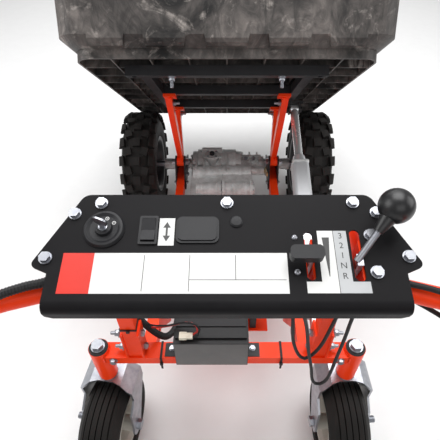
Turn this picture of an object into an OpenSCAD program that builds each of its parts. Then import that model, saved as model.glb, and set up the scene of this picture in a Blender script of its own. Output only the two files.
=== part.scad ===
// Walk-behind powered dump wagon: two driven wheels in front, two swivel casters behind,
// a tilting plastic tub raised by an electric actuator, and an operator's console.
// Millimetres. +Y is forward, +X is the operator's right, +Z is up, wheels stand on z = 0.

/* [Drive wheels] */
// Outer diameter of the drive tyres
drive_tyre_d = 406; // [390:1:430]
// Section width of the drive tyres
drive_tyre_w = 130; // [115:1:140]
// Distance between the centres of the drive tyres
drive_track = 652; // [640:1:700]
// Bead seat diameter of the drive rims
drive_rim_d = 203; // [180:1:220]
// Tread lug rows around a drive tyre
lug_count = 18; // [12:1:24]
// Height of the tread lugs
lug_h = 11; // [6:0.5:14]
// Diameter of the axle shafts
axle_shaft_d = 25; // [20:0.5:30]

/* [Casters] */
// Outer diameter of the caster tyres
caster_tyre_d = 254; // [240:1:260]
// Width of the caster tyres
caster_tyre_w = 98; // [80:1:104]
// Distance between the caster stems
caster_track = 560; // [540:1:620]
// Distance the caster axle trails behind its stem
caster_trail = 54; // [40:1:60]
// Bead seat diameter of the caster rims
caster_rim_d = 140; // [120:1:150]
// Diameter of the caster stems
caster_stem_d = 20; // [16:0.5:24]
// Diameter of the caster axles
caster_axle_d = 16; // [12:0.5:18]
// Clear width between the fork arms
fork_inside = 116; // [112:1:124]
// Thickness of the fork plate
fork_plate = 5; // [4:0.5:7]
// Rest swivel angle of the left caster
caster_left_angle = -8; // [-45:1:45]
// Rest swivel angle of the right caster
caster_right_angle = 2; // [-45:1:45]

/* [Frame] */
// Distance from the drive axle to the caster stems
wheelbase = 915; // [900:1:960]
// Distance between the centres of the frame rails
rail_spacing = 352; // [340:1:360]
// Width of the frame rails
rail_w = 28; // [24:1:30]
// Height of the frame rails
rail_h = 44; // [36:1:50]
// Wall of the steel tubes
tube_wall = 3; // [2:0.5:4]
// Width of the rear cross beam
beam_w = 38; // [34:1:44]
// Height of the rear cross beam
beam_h = 25; // [20:1:30]
// Height of the rear cross beam's top face above the ground
beam_top = 392; // [385:1:410]
// Outer diameter of the caster sleeves
sleeve_d = 44; // [40:1:50]
// Height of the caster sleeves
sleeve_h = 112; // [100:1:114]
// Side of the square console posts
post_w = 30; // [25:1:32]
// Distance between the centres of the console posts
post_spacing = 394; // [380:1:410]

/* [Tub] */
// Width of the skirt under the tub
tub_bottom_w = 704; // [680:1:730]
// Length of the skirt under the tub
tub_bottom_l = 816; // [780:1:850]
// Distance from the tilt pivot forward to the skirt's front edge
tub_front = 185; // [165:1:210]
// Height of the tub from skirt to rim
tub_depth = 300; // [260:1:330]
// Wall of the tub
tub_wall = 5; // [4:0.5:7]
// Height of the tub's bottom above the tilt pivot
tub_clear = 206; // [200:1:215]
// Angle of the tub in the dumped position
tub_tilt = 39.2; // [30:0.1:42]
// Height of the tilt pivot above the drive axle
pivot_rise = 72; // [67:1:87]
// Distance of the tilt pivot behind the drive axle
pivot_back = 80; // [70:1:90]
// Diameter of the tilt pivot bolts
pivot_d = 14; // [10:0.5:16]
// Side of the square tubes under the tub
sub_tube = 25; // [20:1:28]
// Ribs across the underside
ribs_across = 9; // [5:1:12]
// Ribs along the underside
ribs_along = 7; // [4:1:9]

/* [Actuator] */
// Distance of the actuator from the middle plane
actuator_x = 215; // [215:1:222]
// Side of the actuator's square body
actuator_w = 48; // [40:1:48]
// Diameter of the actuator's rod
actuator_rod_d = 25; // [18:1:28]
// Length of the actuator body from its rear pin
actuator_body_l = 519; // [500:1:530]
// Diameter of the actuator's pins
actuator_pin_d = 12; // [8:0.5:12]

/* [Console] */
// Height of the panel's reference point above the ground
panel_h = 831; // [820:1:850]
// Distance of the panel's reference point behind the caster stems
panel_back = 57; // [50:1:65]
// Slope of the panel
panel_slope = 16; // [12:0.5:20]
// Thickness of the panel sheet
panel_sheet = 3; // [2:0.5:4]
// Diameter of the handlebar tubes
bar_d = 30; // [25:0.5:32]
// Drop of the handlebars below the panel's reference point
bar_drop = 51; // [46:1:61]
// Half the distance between the grips
grip_x = 335; // [320:1:350]
// Distance of the grip ends behind the caster stems
grip_reach = 420; // [390:1:440]
// Diameter of the shift lever's ball
shift_ball_d = 47; // [40:1:52]

/* [Drive train] */
// Distance of the engine's crankshaft behind the drive axle
engine_back = 585; // [575:1:595]
// Distance of the transaxle's input shaft behind the drive axle
input_back = 170; // [160:1:180]
// Groove radius of the engine pulley
engine_pulley_r = 32; // [26:1:38]
// Groove radius of the transaxle pulley
input_pulley_r = 70; // [60:1:76]
// Width of the drive belt
belt_w = 10; // [8:0.5:12]
// Thickness of the drive belt
belt_t = 8; // [6:0.5:10]

/* [Hidden] */
$fn = 48;
hull_fn = 32;
run_gap = 0.05;
face_gap = 0.3;
side_gap = 1;
weld = 0.5;
big = 1000;

red = "#e8341c";
black = "#1d1d1f";
zinc = "#c9ccd1";
alloy = "#a9abad";
rubber = "#2a2826";

axle_z = drive_tyre_d / 2;
pivot_h = axle_z + pivot_rise;
bar_h = panel_h - bar_drop;
rail_x = rail_spacing / 2;
rail_top = axle_z + 19;
rail_bottom = rail_top - rail_h;
rail_front = -32;
rail_rise_start = -690;
rail_rise_end = -800;
rail_lap = 16;
stem_x = caster_track / 2;
stem_y = -wheelbase;
beam_bottom = beam_top - beam_h;
sleeve_top = beam_top + 10;
sleeve_bottom = sleeve_top - sleeve_h;
bush_flange = 3;
crown_top = sleeve_bottom - bush_flange - face_gap;
caster_axle_z = caster_tyre_d / 2;
pivot = [0, -pivot_back, pivot_h];
tub_rear = tub_front - tub_bottom_l;
skirt_h = 22;
chamfer_h = 22;
chamfer_out = 28;
draft_out = 16;
front_flare = 117;
rim_out = 14;
rim_h = 14;
tub_top = tub_clear + tub_depth;
rear_draft = 44;
corner_r = 45;
tub_body_half = tub_bottom_w / 2 + chamfer_out;
tub_rim_half = tub_body_half + draft_out + rim_out;
tub_rim_front = tub_front + chamfer_out + front_flare + rim_out;
sub_rail_x = 198;
sub_bars = [-565, -343, -111];
sub_top = tub_clear;
sub_bottom = sub_top - sub_tube;
arm_w = rail_w - 2 * side_gap;
arm_top_x = rail_x - 8;
post_x = post_spacing / 2;
panel_y = stem_y - panel_back;
bar_run_y = -987;
bar_turn = 73;
bar_bend = 45;
grip_bend = 60;
grip_end_y = stem_y - grip_reach;
front_y = pivot[1] + tub_rim_front * cos(tub_tilt) + tub_top * sin(tub_tilt);
middle_y = (front_y + grip_end_y) / 2;
rod_eye = [-231, 157];
eye_y = pivot[1] + rod_eye[0] * cos(tub_tilt) + rod_eye[1] * sin(tub_tilt);
eye_z = pivot[2] - rod_eye[0] * sin(tub_tilt) + rod_eye[1] * cos(tub_tilt);
anchor_y = -840;
anchor_z = beam_bottom - 25;
actuator_angle = atan2(eye_z - anchor_z, eye_y - anchor_y);
actuator_l = norm([eye_z - anchor_z, eye_y - anchor_y]);
belt_z = axle_z - 42;
input_x = -20;
engine_plate_t = 5;
tank_y = -745;
engine_deck = rail_top + engine_plate_t;
case_bottom = axle_z - 25;
battery_size = [151, 65, 95];
battery_x = -32;
battery_rear = stem_y - 35;
tray_t = 1.5;
throttle_x = 109;
throttle_s = -44;
shift_x = 172;
shift_s = -46;
throttle_drop = 58;
shift_drop = 150;
throttle_lever_t = 5;
shift_lever_t = 8;
lever_pin_d = 8;
ear_t = 3;
key_at = [-167, 2];
rocker_at = [-106.5, 0.5];
rocker_open = [19, 36];
panel_bolts_at = [[-176, 43], [-210.5, 26], [-238, -40.5], [0, 43.5], [176.5, 44], [207, 28], [239, -38.5],
    [193, -7], [193.5, -60.5]];
panel_bolt_d = 8;
grip_l = 125;
lever_hinge_y = grip_end_y + 200;
lever_hinge_z = bar_h - 30;
lever_hub_d = 16;
lever_hub_w = 17;

// Cable routes, chosen by hand along what carries them
drive_cable_route = [[321.5, -1118, 767.5], [296, -1062, 752], [240, -1010, 744], [204, -962, 690],
    [195, -956, 575],
    [184, -956, 484], [164, -956, 436], [146, -956, 448], [128, -956, 507], [119, -952, 585], [112, -925, 620],
    [110, -880, 560], [120, -830, 440], [128, -760, 330], [128, -700, 256], [128, -672, 229.6]];
throttle_cable_route = [[96, -1010, 752], [112, -998, 700], [140, -975, 590], [157, -970, 495],
    [172, -970, 425],
    [184, -970, 362], [200, -970, 344], [214, -970, 372], [218, -968, 460], [222, -962, 560], [224, -946, 640],
    [212, -880, 676], [130, -840, 620], [76, -790, 510], [66, -726, 450], [66, -684, 392],
    [63.3, -664.7, 352]];
loom_route = [[-167, -968, 772], [-162, -930, 740], [-172, -892, 700], [-190, -891.7, 640], [-193, -891.7, 570],
    [-191, -889.4, 510], [-186, -886.5, 478], [-174, -886, 446], [-152, -884, 404], [-136, -872, 376],
    [-122, -842, 362],
    [-120, -794, 350], [-125, -740, 300], [-125, -696, 240]];
red_lead_route = [[-67.5, -936, 494], [-60, -935, 498], [-58, -928, 508], [-72, -921, 513], [-92, -917, 506],
    [-113, -913, 490], [-139, -901, 463], [-161.7, -888.1, 440.6]];
black_lead_route = [[-67.5, -941.5, 494], [-58, -941, 500], [-54, -932, 513], [-72, -925, 519],
    [-95, -921, 512],
    [-117, -917, 497], [-144, -904, 474], [-167.9, -888.6, 453.6]];
left_loom_route = [[-316, -1119, 799], [-312, -1092, 803], [-292, -1062, 804], [-262, -1046, 804],
    [-234, -1036, 803], [-212, -1017, 803]];
right_cable_route = [[317, -1119, 797], [313, -1092, 800], [292, -1062, 801], [262, -1046, 801],
    [234, -1036, 800], [212, -1017, 800]];

// A route stretched upward when the panel stands higher than the routes were drawn for
route_panel_h = 831;
function raised(route) = [for (p = route)
    [p[0], p[1], p[2] + (panel_h - route_panel_h) * max(0, p[2] - beam_top) / (route_panel_h - beam_top)]];

// A smooth curve through the points of a route
function between(a, b, c, d, t) = 0.5 * ((2 * b) + (c - a) * t + (2 * a - 5 * b + 4 * c - d) * t * t
    + (3 * b - a - 3 * c + d) * t * t * t);
function along(route, steps) = let(last = len(route) - 1) [
    for (i = [0:last - 1]) for (k = [0:steps - 1])
        between(route[max(i - 1, 0)], route[i], route[i + 1], route[min(i + 2, last)], k / steps),
    route[last]];
function heading(path, i) =
    let(last = len(path) - 1, d = path[min(i + 1, last)] - path[max(i - 1, 0)]) d / norm(d);
function unit(v) = v / norm(v);

// A round cable swept along a route; lean is a direction that the route never follows
module cable(route, d, steps = 3, sides = 8, lean = [0.35, 0.9, 0.1]) {
    path = along(route, steps);
    rings = [for (i = [0:len(path) - 1]) let(
        t = heading(path, i),
        a = unit(cross(t, lean)),
        b = cross(t, a)) for (k = [0:sides - 1])
            path[i] + d / 2 * (cos(360 * k / sides) * a + sin(360 * k / sides) * b)];
    n = len(path);
    sides_faces = [for (i = [0:n - 2]) for (k = [0:sides - 1]) let(
        p = i * sides + k,
        q = i * sides + (k + 1) % sides) each [[p, q + sides, q], [p, p + sides, q + sides]]];
    start_cap = [for (k = [1:sides - 2]) [0, k, k + 1]];
    end_cap = [for (k = [1:sides - 2]) (n - 1) * sides * [1, 1, 1] + [0, k + 1, k]];
    polyhedron(rings, concat(start_cap, sides_faces, end_cap));
}

// A round bar between two points
module rod(p, q, d) {
    v = q - p;
    translate(p) rotate([0, acos(v[2] / norm(v)), atan2(v[1], v[0])]) cylinder(d = d, h = norm(v));
}

// A cylinder along X, centred at p
module pin_x(p, d, l) {
    translate(p) rotate([0, 90, 0]) cylinder(d = d, h = l, center = true);
}

module box_at(c, size) {
    translate(c) cube(size, center = true);
}

module rounded_rect(w, h, r) {
    square([w - 2 * r, h], center = true);
    square([w, h - 2 * r], center = true);
    for (x = [-1, 1], y = [-1, 1]) translate([x * (w / 2 - r), y * (h / 2 - r)]) circle(r = r);
}

// A flat profile drawn in Y and Z, as thick as w along X
module side_plate(w) {
    rotate([90, 0, 90]) linear_extrude(w, center = true) children();
}

// A flange-head bolt seated at the origin, its head along +Z
module flange_bolt(d, shank) {
    cylinder(d = 2.2 * d, h = 0.25 * d);
    cylinder(d = 1.85 * d, h = 0.9 * d, $fn = 6);
    translate([0, 0, -shank]) cylinder(d = d, h = shank + weld);
}

// A through bolt along X with a head and a nut, gripping from -grip / 2 to grip / 2
module cross_bolt(d, grip) {
    rotate([0, 90, 0]) {
        cylinder(d = d, h = grip + 2 * d, center = true);
        for (side = [0, 1]) mirror([0, 0, side]) translate([0, 0, grip / 2])
            cylinder(d = 1.85 * d, h = 0.8 * d, $fn = 6);
    }
}

module whole() {
    translate([0, -middle_y, 0]) children();
}

module in_tub() {
    translate(pivot) rotate([-tub_tilt, 0, 0]) children();
}

module on_panel() {
    translate([0, panel_y, panel_h]) rotate([panel_slope, 0, 0]) children();
}

module on_actuator() {
    translate([actuator_x, anchor_y, anchor_z]) rotate([actuator_angle, 0, 0]) children();
}

module at_caster(side, angle) {
    translate([side * stem_x, stem_y, 0]) rotate(angle) children();
}

// Frame

sleeve_bore = caster_stem_d + 12;
beam_hole_x = 150;
bracket_plate = 4;
bracket_h = 92;
post_bolts_z = [beam_top + 18, beam_top + 72];
post_bolt_d = 8;

module rear_cross_beam() {
    color(red) difference() {
        union() {
            box_at([0, stem_y, beam_top - beam_h / 2], [caster_track - sleeve_d + 12, beam_w, beam_h]);
            for (side = [-1, 1]) {
                translate([side * stem_x, stem_y, sleeve_bottom]) cylinder(d = sleeve_d, h = sleeve_h);
                for (face = [-1, 1]) box_at([side * post_x + face * (post_w + bracket_plate) / 2, stem_y,
                    beam_top + bracket_h / 2 - weld], [bracket_plate, beam_w, bracket_h]);
            }
        }
        box_at([0, stem_y, beam_top - beam_h / 2],
            [caster_track - sleeve_d - 12, beam_w - 2 * tube_wall, beam_h - 2 * tube_wall]);
        for (side = [-1, 1]) {
            translate([side * stem_x, stem_y, sleeve_bottom - 1]) cylinder(d = sleeve_bore, h = sleeve_h + 2);
            translate([side * beam_hole_x, stem_y, beam_bottom - 1])
                cylinder(d = bolt_hole_d, h = tube_wall + 2);
            for (z = post_bolts_z)
                pin_x([side * post_x, stem_y, z], post_bolt_d + 0.6, post_w + 4 * bracket_plate);
        }
    }
}

module rail_profile(inset) {
    rise = beam_bottom - rail_top;
    slope = atan2(rise, rail_rise_start - rail_rise_end);
    jog = rail_h * tan(slope / 2);
    t = inset;
    jog_t = t * tan(slope / 2);
    polygon([
        [rail_front + 1, rail_top - t], [rail_rise_start - jog_t, rail_top - t],
        [rail_rise_end - jog_t, beam_bottom - t], [stem_y - beam_w / 2 - 1, beam_bottom - t],
        [stem_y - beam_w / 2 - 1, beam_bottom - rail_h + t],
        [rail_rise_end - jog + jog_t, beam_bottom - rail_h + t],
        [rail_rise_start - jog + jog_t, rail_bottom + t], [rail_front + 1, rail_bottom + t]]);
}

anchor_stand = actuator_x - rail_x - rail_w / 2;

rail_back = stem_y + beam_w / 2 - rail_lap;

module frame_rails() {
    color(red) for (side = [-1, 1]) translate([side * rail_x, 0, 0]) difference() {
        intersection() {
            side_plate(rail_w) rail_profile(0);
            box_at([0, (rail_front + rail_back) / 2, rail_top], [big, rail_front - rail_back, big]);
        }
        side_plate(rail_w - 2 * tube_wall) rail_profile(tube_wall);
        pin_x([0, anchor_y, anchor_z], actuator_pin_d + 0.4, big);
    }
}

plate_l = 240;
plate_ahead = 20;
tongue = [220, 130];
crank_hole_d = 56;
engine_bolts = [55, 62];
bolt_hole_d = 9;

module engine_plate() {
    color(red) difference() {
        union() {
            box_at([0, plate_ahead - engine_back, rail_top + engine_plate_t / 2],
                [rail_spacing + rail_w, plate_l, engine_plate_t]);
            box_at([0, tank_y + 40, rail_top + engine_plate_t / 2], [tongue[0], tongue[1], engine_plate_t]);
        }
        translate([0, -engine_back, 0]) cylinder(d = crank_hole_d, h = big);
        for (x = [-1, 1], y = [-1, 1]) translate([x * engine_bolts[0], y * engine_bolts[1] - engine_back, 0])
            cylinder(d = bolt_hole_d, h = big);
        for (x = [-1, 1], y = [-1, 1])
            translate([x * rail_x, plate_ahead - engine_back + y * (plate_l / 2 - 25), 0])
                cylinder(d = bolt_hole_d, h = big);
    }
}

axle_tube_d = 44;
ear_out = rail_w / 2;

module pivot_brackets() {
    color(black) for (side = [-1, 1], face = [-1, 1])
        translate([side * rail_x + face * (ear_out + 2.5), 0, 0]) difference() {
            union() {
                side_plate(5) polygon([[-130, rail_bottom], [-130, rail_top], [pivot[1] - 22, pivot_h],
                    [pivot[1] + 22, pivot_h], [34, axle_z + 20], [34, axle_z - 25]]);
                pin_x(pivot, 44, 5);
            }
            pin_x(pivot, pivot_d + 0.2, 10);
            pin_x([0, 0, axle_z], axle_tube_d + 0.4, 10);
            pin_x([0, -62, rail_top - rail_h / 2], 8.6, 10);
            pin_x([0, -112, rail_top - rail_h / 2], 8.6, 10);
        }
}

rest_y = pivot[1] + sub_bars[0];
bumper_h = 12;
rest_top = pivot_h + sub_bottom - face_gap - bumper_h;

module tub_rests() {
    color(red) for (side = [-1, 1]) difference() {
        box_at([side * rail_x, rest_y, (rail_top + engine_plate_t + rest_top) / 2],
            [sub_tube, sub_tube, rest_top - rail_top - engine_plate_t]);
        box_at([side * rail_x, rest_y, (rail_top + rest_top) / 2 - tube_wall],
            [sub_tube - 2 * tube_wall, sub_tube - 2 * tube_wall, rest_top - rail_top]);
    }
}

module tub_bumpers() {
    color(rubber) for (side = [-1, 1]) translate([side * rail_x, rest_y, rest_top]) {
        cylinder(d1 = sub_tube + 3, d2 = sub_tube - 3, h = bumper_h);
    }
}

post_top = bar_h - bar_d / 2 - face_gap;

module console_posts() {
    color(red) for (side = [-1, 1]) difference() {
        box_at([side * post_x, stem_y, (beam_top + post_top) / 2], [post_w, post_w, post_top - beam_top]);
        box_at([side * post_x, stem_y, (beam_top + post_top) / 2],
            [post_w - 2 * tube_wall, post_w - 2 * tube_wall, post_top - beam_top + 2]);
        for (z = post_bolts_z) pin_x([side * post_x, stem_y, z], post_bolt_d + 0.6, post_w + 2);
    }
}

// Handlebars, drawn for the right side and mirrored

bar_out = [sin(bar_turn), -cos(bar_turn)];
bar_a = [post_x, bar_run_y];
bar_b = bar_a + bar_bend * [1 - cos(bar_turn), -sin(bar_turn)];
bar_c = bar_b + (grip_x - grip_bend * (1 - cos(bar_turn)) - bar_b[0]) / bar_out[0] * bar_out;
bar_d_at = bar_c + grip_bend * [1 - cos(bar_turn), -sin(bar_turn)];
bar_front_y = stem_y + 25;
bend_swell = 0.5;
grip_cap = 6;

module bar_path(d) {
    rod([bar_a[0], bar_front_y, bar_h], [bar_a[0], bar_a[1] - weld, bar_h], d);
    translate([bar_a[0] + bar_bend, bar_a[1], bar_h]) rotate(180) rotate_extrude(angle = bar_turn)
        translate([bar_bend, 0]) circle(d = d + bend_swell);
    rod([each bar_b - weld * bar_out, bar_h], [each bar_c + weld * bar_out, bar_h], d);
    translate([bar_d_at[0] - grip_bend, bar_d_at[1], bar_h]) rotate_extrude(angle = bar_turn)
        translate([grip_bend, 0]) circle(d = d + bend_swell);
    rod([bar_d_at[0], bar_d_at[1] + weld, bar_h], [bar_d_at[0], grip_end_y + grip_cap, bar_h], d);
}

module handlebar() {
    color(red) {
        difference() {
            bar_path(bar_d);
            rod([bar_a[0], bar_front_y + 1, bar_h], [bar_a[0], bar_front_y - 30, bar_h], bar_d - 2 * tube_wall);
        }
        difference() {
            union() {
                translate([grip_x, lever_hinge_y, bar_h]) rotate([90, 0, 0])
                    cylinder(d = bar_d + 8, h = 22, center = true);
                for (f = [-1, 1]) side_ear(grip_x + f * (lever_hub_w / 2 + side_gap + 2));
            }
            translate([grip_x, lever_hinge_y, bar_h]) rotate([90, 0, 0])
                cylinder(d = bar_d - 2, h = 60, center = true);
        }
        pin_x([grip_x, lever_hinge_y, lever_hinge_z], lever_pin_d, lever_hub_w + 2 * side_gap + 12);
    }
}

module side_ear(x) {
    translate([x, 0, 0]) side_plate(4) {
        translate([lever_hinge_y, lever_hinge_z]) circle(d = 20);
        translate([lever_hinge_y - 10, lever_hinge_z]) square([20, bar_h - lever_hinge_z - bar_d / 2 + 4]);
    }
}

module handlebar_right() {
    handlebar();
}

module handlebar_left() {
    mirror([1, 0, 0]) handlebar();
}

module handle_grips() {
    color(black) for (side = [0, 1]) mirror([side, 0, 0])
        translate([grip_x, grip_end_y, bar_h]) rotate([-90, 0, 0]) {
        difference() {
            union() {
                cylinder(d = bar_d + 7, h = grip_l);
                for (k = [0:6]) translate([0, 0, 10 + 15 * k]) cylinder(d = bar_d + 9, h = 7);
                translate([0, 0, grip_l - 6]) cylinder(d = bar_d + 18, h = 6);
            }
            translate([0, 0, grip_cap]) cylinder(d = bar_d + 0.2, h = grip_l);
        }
    }
}

module hand_lever(side) {
    tip = grip_end_y + 25;
    color(black) translate([side * grip_x, 0, 0]) difference() {
        union() {
            pin_x([0, lever_hinge_y, lever_hinge_z], lever_hub_d, lever_hub_w);
            side_plate(14) polygon([[lever_hinge_y, lever_hinge_z + 8], [lever_hinge_y - 30, lever_hinge_z - 6],
                [tip + 12, lever_hinge_z - 16], [tip, lever_hinge_z - 24], [tip + 12, lever_hinge_z - 25],
                [lever_hinge_y - 30, lever_hinge_z - 14], [lever_hinge_y, lever_hinge_z - 8]]);
        }
        pin_x([0, lever_hinge_y, lever_hinge_z], lever_pin_d + 2 * run_gap, big);
    }
}

module presence_lever() {
    hand_lever(-1);
}

module drive_lever() {
    hand_lever(1);
}

// Console

panel_top_s = 58;
panel_fold_s = -98;
panel_low_half = 233;
fold_r = 14;
lip_n = -30;
slot_w = 11.5;
throttle_slot = [-71, -2];
shift_slot = [-72.5, 1.5];
shift_slot_w = slot_w + 2.5;

module panel_outline() {
    hull() {
        for (side = [-1, 1]) {
            translate([side * 192, panel_top_s - 16]) circle(r = 16, $fn = hull_fn);
            translate([side * 247, -47]) circle(r = 8, $fn = hull_fn);
            translate([side * 228, -58]) circle(r = 5, $fn = hull_fn);
        }
    }
    translate([-panel_low_half, panel_fold_s]) square([2 * panel_low_half, 50]);
}

module slot_hole(x, ends, w) {
    translate([x, (ends[0] + ends[1]) / 2]) rounded_rect(w, ends[1] - ends[0], w / 2 - 0.01);
}

module control_panel() {
    color(black) on_panel() {
        translate([0, 0, -panel_sheet]) linear_extrude(panel_sheet) difference() {
            panel_outline();
            translate(key_at) circle(d = 26);
            translate(rocker_at) square([23, 40], center = true);
            slot_hole(throttle_x, throttle_slot, slot_w);
            slot_hole(shift_x, shift_slot, shift_slot_w);
            for (p = panel_bolts_at) translate(p) circle(d = panel_bolt_d + 0.6);
        }
        side_plate(2 * panel_low_half) {
            translate([panel_fold_s, -fold_r]) intersection() {
                difference() {
                    circle(r = fold_r);
                    circle(r = fold_r - panel_sheet);
                }
                translate([-fold_r, 0]) square([fold_r + weld, fold_r]);
            }
            translate([panel_fold_s - fold_r, lip_n + 8]) square([panel_sheet, -lip_n - 8 - fold_r + weld]);
        }
        translate([0, panel_fold_s - fold_r + panel_sheet, 0]) rotate([90, 0, 0]) linear_extrude(panel_sheet)
            polygon([[-panel_low_half, lip_n + 8 + weld], [panel_low_half, lip_n + 8 + weld],
                [panel_low_half, lip_n + 8], [panel_low_half - 8, lip_n], [8 - panel_low_half, lip_n],
                [-panel_low_half, lip_n + 8]]);
    }
}

strip_t = 3;
frame_n = -panel_sheet - strip_t;

module lever_ears(x, t, s, drop) {
    for (f = [-1, 1]) translate([x + f * (t / 2 + side_gap + ear_t / 2), 0, 0]) side_plate(ear_t) difference() {
        polygon([[s - 34, frame_n + weld], [s + 34, frame_n + weld], [s + 12, -drop - 12],
            [s - 12, -drop - 12]]);
        translate([s, -drop]) circle(d = lever_pin_d + 0.2);
    }
}

module console_frame() {
    color(red) on_panel() {
        difference() {
            union() {
                translate([0, 0, frame_n]) linear_extrude(strip_t) difference() {
                    union() {
                        translate([-196, 32]) square([392, 24]);
                        translate([-238, -52]) square([56, 90]);
                        translate([178, -72]) square([60, 110]);
                        translate([84, -86]) square([110, 130]);
                    }
                    slot_hole(throttle_x, throttle_slot + [-4, 4], slot_w + 6);
                    slot_hole(shift_x, shift_slot + [-4, 4], shift_slot_w + 6);
                    for (p = panel_bolts_at) translate(p) circle(d = panel_bolt_d + 0.6);
                }
                lever_ears(throttle_x, throttle_lever_t, throttle_s, throttle_drop);
                lever_ears(shift_x, shift_lever_t, shift_s, shift_drop);
                for (side = [-1, 1]) box_at([side * post_x, 25, frame_n - 32 + weld], [5, 50, 64]);
            }
            rotate([-panel_slope, 0, 0]) translate([0, -panel_y, -panel_h]) {
                for (side = [-1, 1]) {
                    rod([side * post_x, bar_front_y + 9, bar_h], [side * post_x, bar_run_y - 9, bar_h], bar_d);
                    box_at([side * post_x, bar_run_y, bar_h - 50], [20, 240, 100]);
                }
            }
        }
        pin_x([throttle_x, throttle_s, -throttle_drop], lever_pin_d,
            throttle_lever_t + 2 * side_gap + 2 * ear_t + 4);
        pin_x([shift_x, shift_s, -shift_drop], lever_pin_d, shift_lever_t + 2 * side_gap + 2 * ear_t + 4);
    }
}

module key_switch() {
    color(black) on_panel() translate(key_at) difference() {
        union() {
            rotate_extrude()
                polygon([[0, 0], [28, 0], [28, 2], [26, 5.5], [23, 6], [19, 3.5], [12, 3], [11, 8], [0, 8]]);
            translate([0, 0, -34]) cylinder(d = 25, h = 35);
        }
        translate([0, 0, -12]) cylinder(d = 12.4, h = 40);
    }
}

module ignition_key() {
    color(zinc) on_panel() translate(key_at) {
        translate([0, 0, -11.5]) cylinder(d = 12.4 - 2 * run_gap, h = 20.5);
        translate([0, 0, 8.5]) rotate(-20) rotate([90, 0, 0]) linear_extrude(2.6, center = true) {
            translate([-4, 0]) square([8, 10]);
            translate([0, 15]) rounded_rect(20, 16, 6);
        }
    }
}

rocker_drop = 4;
rocker_pin_d = 5;

module rocker_bezel() {
    color(black) on_panel() translate(rocker_at) difference() {
        union() {
            linear_extrude(3) rounded_rect(25.4, 43, 2.5);
            translate([0, 0, -24]) linear_extrude(25) square([22.6, 39.4], center = true);
        }
        translate([0, 0, -15]) linear_extrude(30) square(rocker_open, center = true);
        pin_x([0, 0, -rocker_drop], rocker_pin_d + 2 * run_gap, 2 * rocker_open[0]);
    }
}

module rocker() {
    color("#2b2b2e") on_panel() translate(rocker_at) {
        side_plate(rocker_open[0] - 2 * face_gap)
            polygon([[-16.2, 5.5], [0, 2.2], [16.2, 5.5], [16, -2], [5, -8], [-5, -8], [-16, -2]]);
        pin_x([0, 0, -rocker_drop], rocker_pin_d, rocker_open[0] + 2);
    }
}

module panel_covers() {
    color(black) on_panel() {
        translate([-40, 1, 0]) {
            linear_extrude(2.5) rounded_rect(58.5, 40, 9);
            linear_extrude(4.5) rounded_rect(52, 33.5, 7);
        }
        translate([13, 14, 0]) rotate_extrude() polygon([[0, 0], [9, 0], [9, 1.5], [7, 3.6], [0, 4.4]]);
    }
}

throttle_knob_n = 16;

module throttle_lever() {
    color(zinc) on_panel() difference() {
        union() {
            box_at([throttle_x, throttle_s, (throttle_knob_n + 2 - throttle_drop) / 2],
                [throttle_lever_t, 12, throttle_knob_n + 2 + throttle_drop]);
            pin_x([throttle_x, throttle_s, -throttle_drop], 20, throttle_lever_t);
        }
        pin_x([throttle_x, throttle_s, -throttle_drop], lever_pin_d + 2 * run_gap, big);
    }
}

module throttle_knob() {
    color(black) on_panel() translate([throttle_x - 8, throttle_s, throttle_knob_n]) difference() {
        linear_extrude(14) rounded_rect(43, 19, 7);
        translate([8, 0, -1]) linear_extrude(9) square([throttle_lever_t + 0.2, 12.2], center = true);
    }
}

// The shift lever rises through its gate, then cranks outward to its ball
shift_foot = [shift_x - 3, shift_s, 6];
shift_ball = [219, 15, 41];
shift_rod_d = 9;
shift_dir = (shift_ball - shift_foot) / norm(shift_ball - shift_foot);
shift_neck_end = shift_ball - shift_dir * (shift_ball_d / 2 + 18);

module shift_lever() {
    color(zinc) on_panel() difference() {
        union() {
            box_at([shift_x, shift_s, (8 - shift_drop) / 2], [shift_lever_t, 16, 8 + shift_drop]);
            pin_x([shift_x, shift_s, -shift_drop], 22, shift_lever_t);
            rod(shift_foot - shift_dir * 2, shift_neck_end + shift_dir * 6, shift_rod_d);
        }
        pin_x([shift_x, shift_s, -shift_drop], lever_pin_d + 2 * run_gap, big);
    }
}

module shift_knob() {
    color(black) on_panel() difference() {
        union() {
            translate(shift_ball) sphere(d = shift_ball_d);
            translate(shift_neck_end) rotate([0, acos(shift_dir[2]), atan2(shift_dir[1], shift_dir[0])])
                cylinder(d1 = 13, d2 = 24, h = 24);
        }
        rod(shift_neck_end - shift_dir, shift_neck_end + shift_dir * 7, shift_rod_d + 0.1);
    }
}

// Fasteners of the fixed frame

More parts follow.
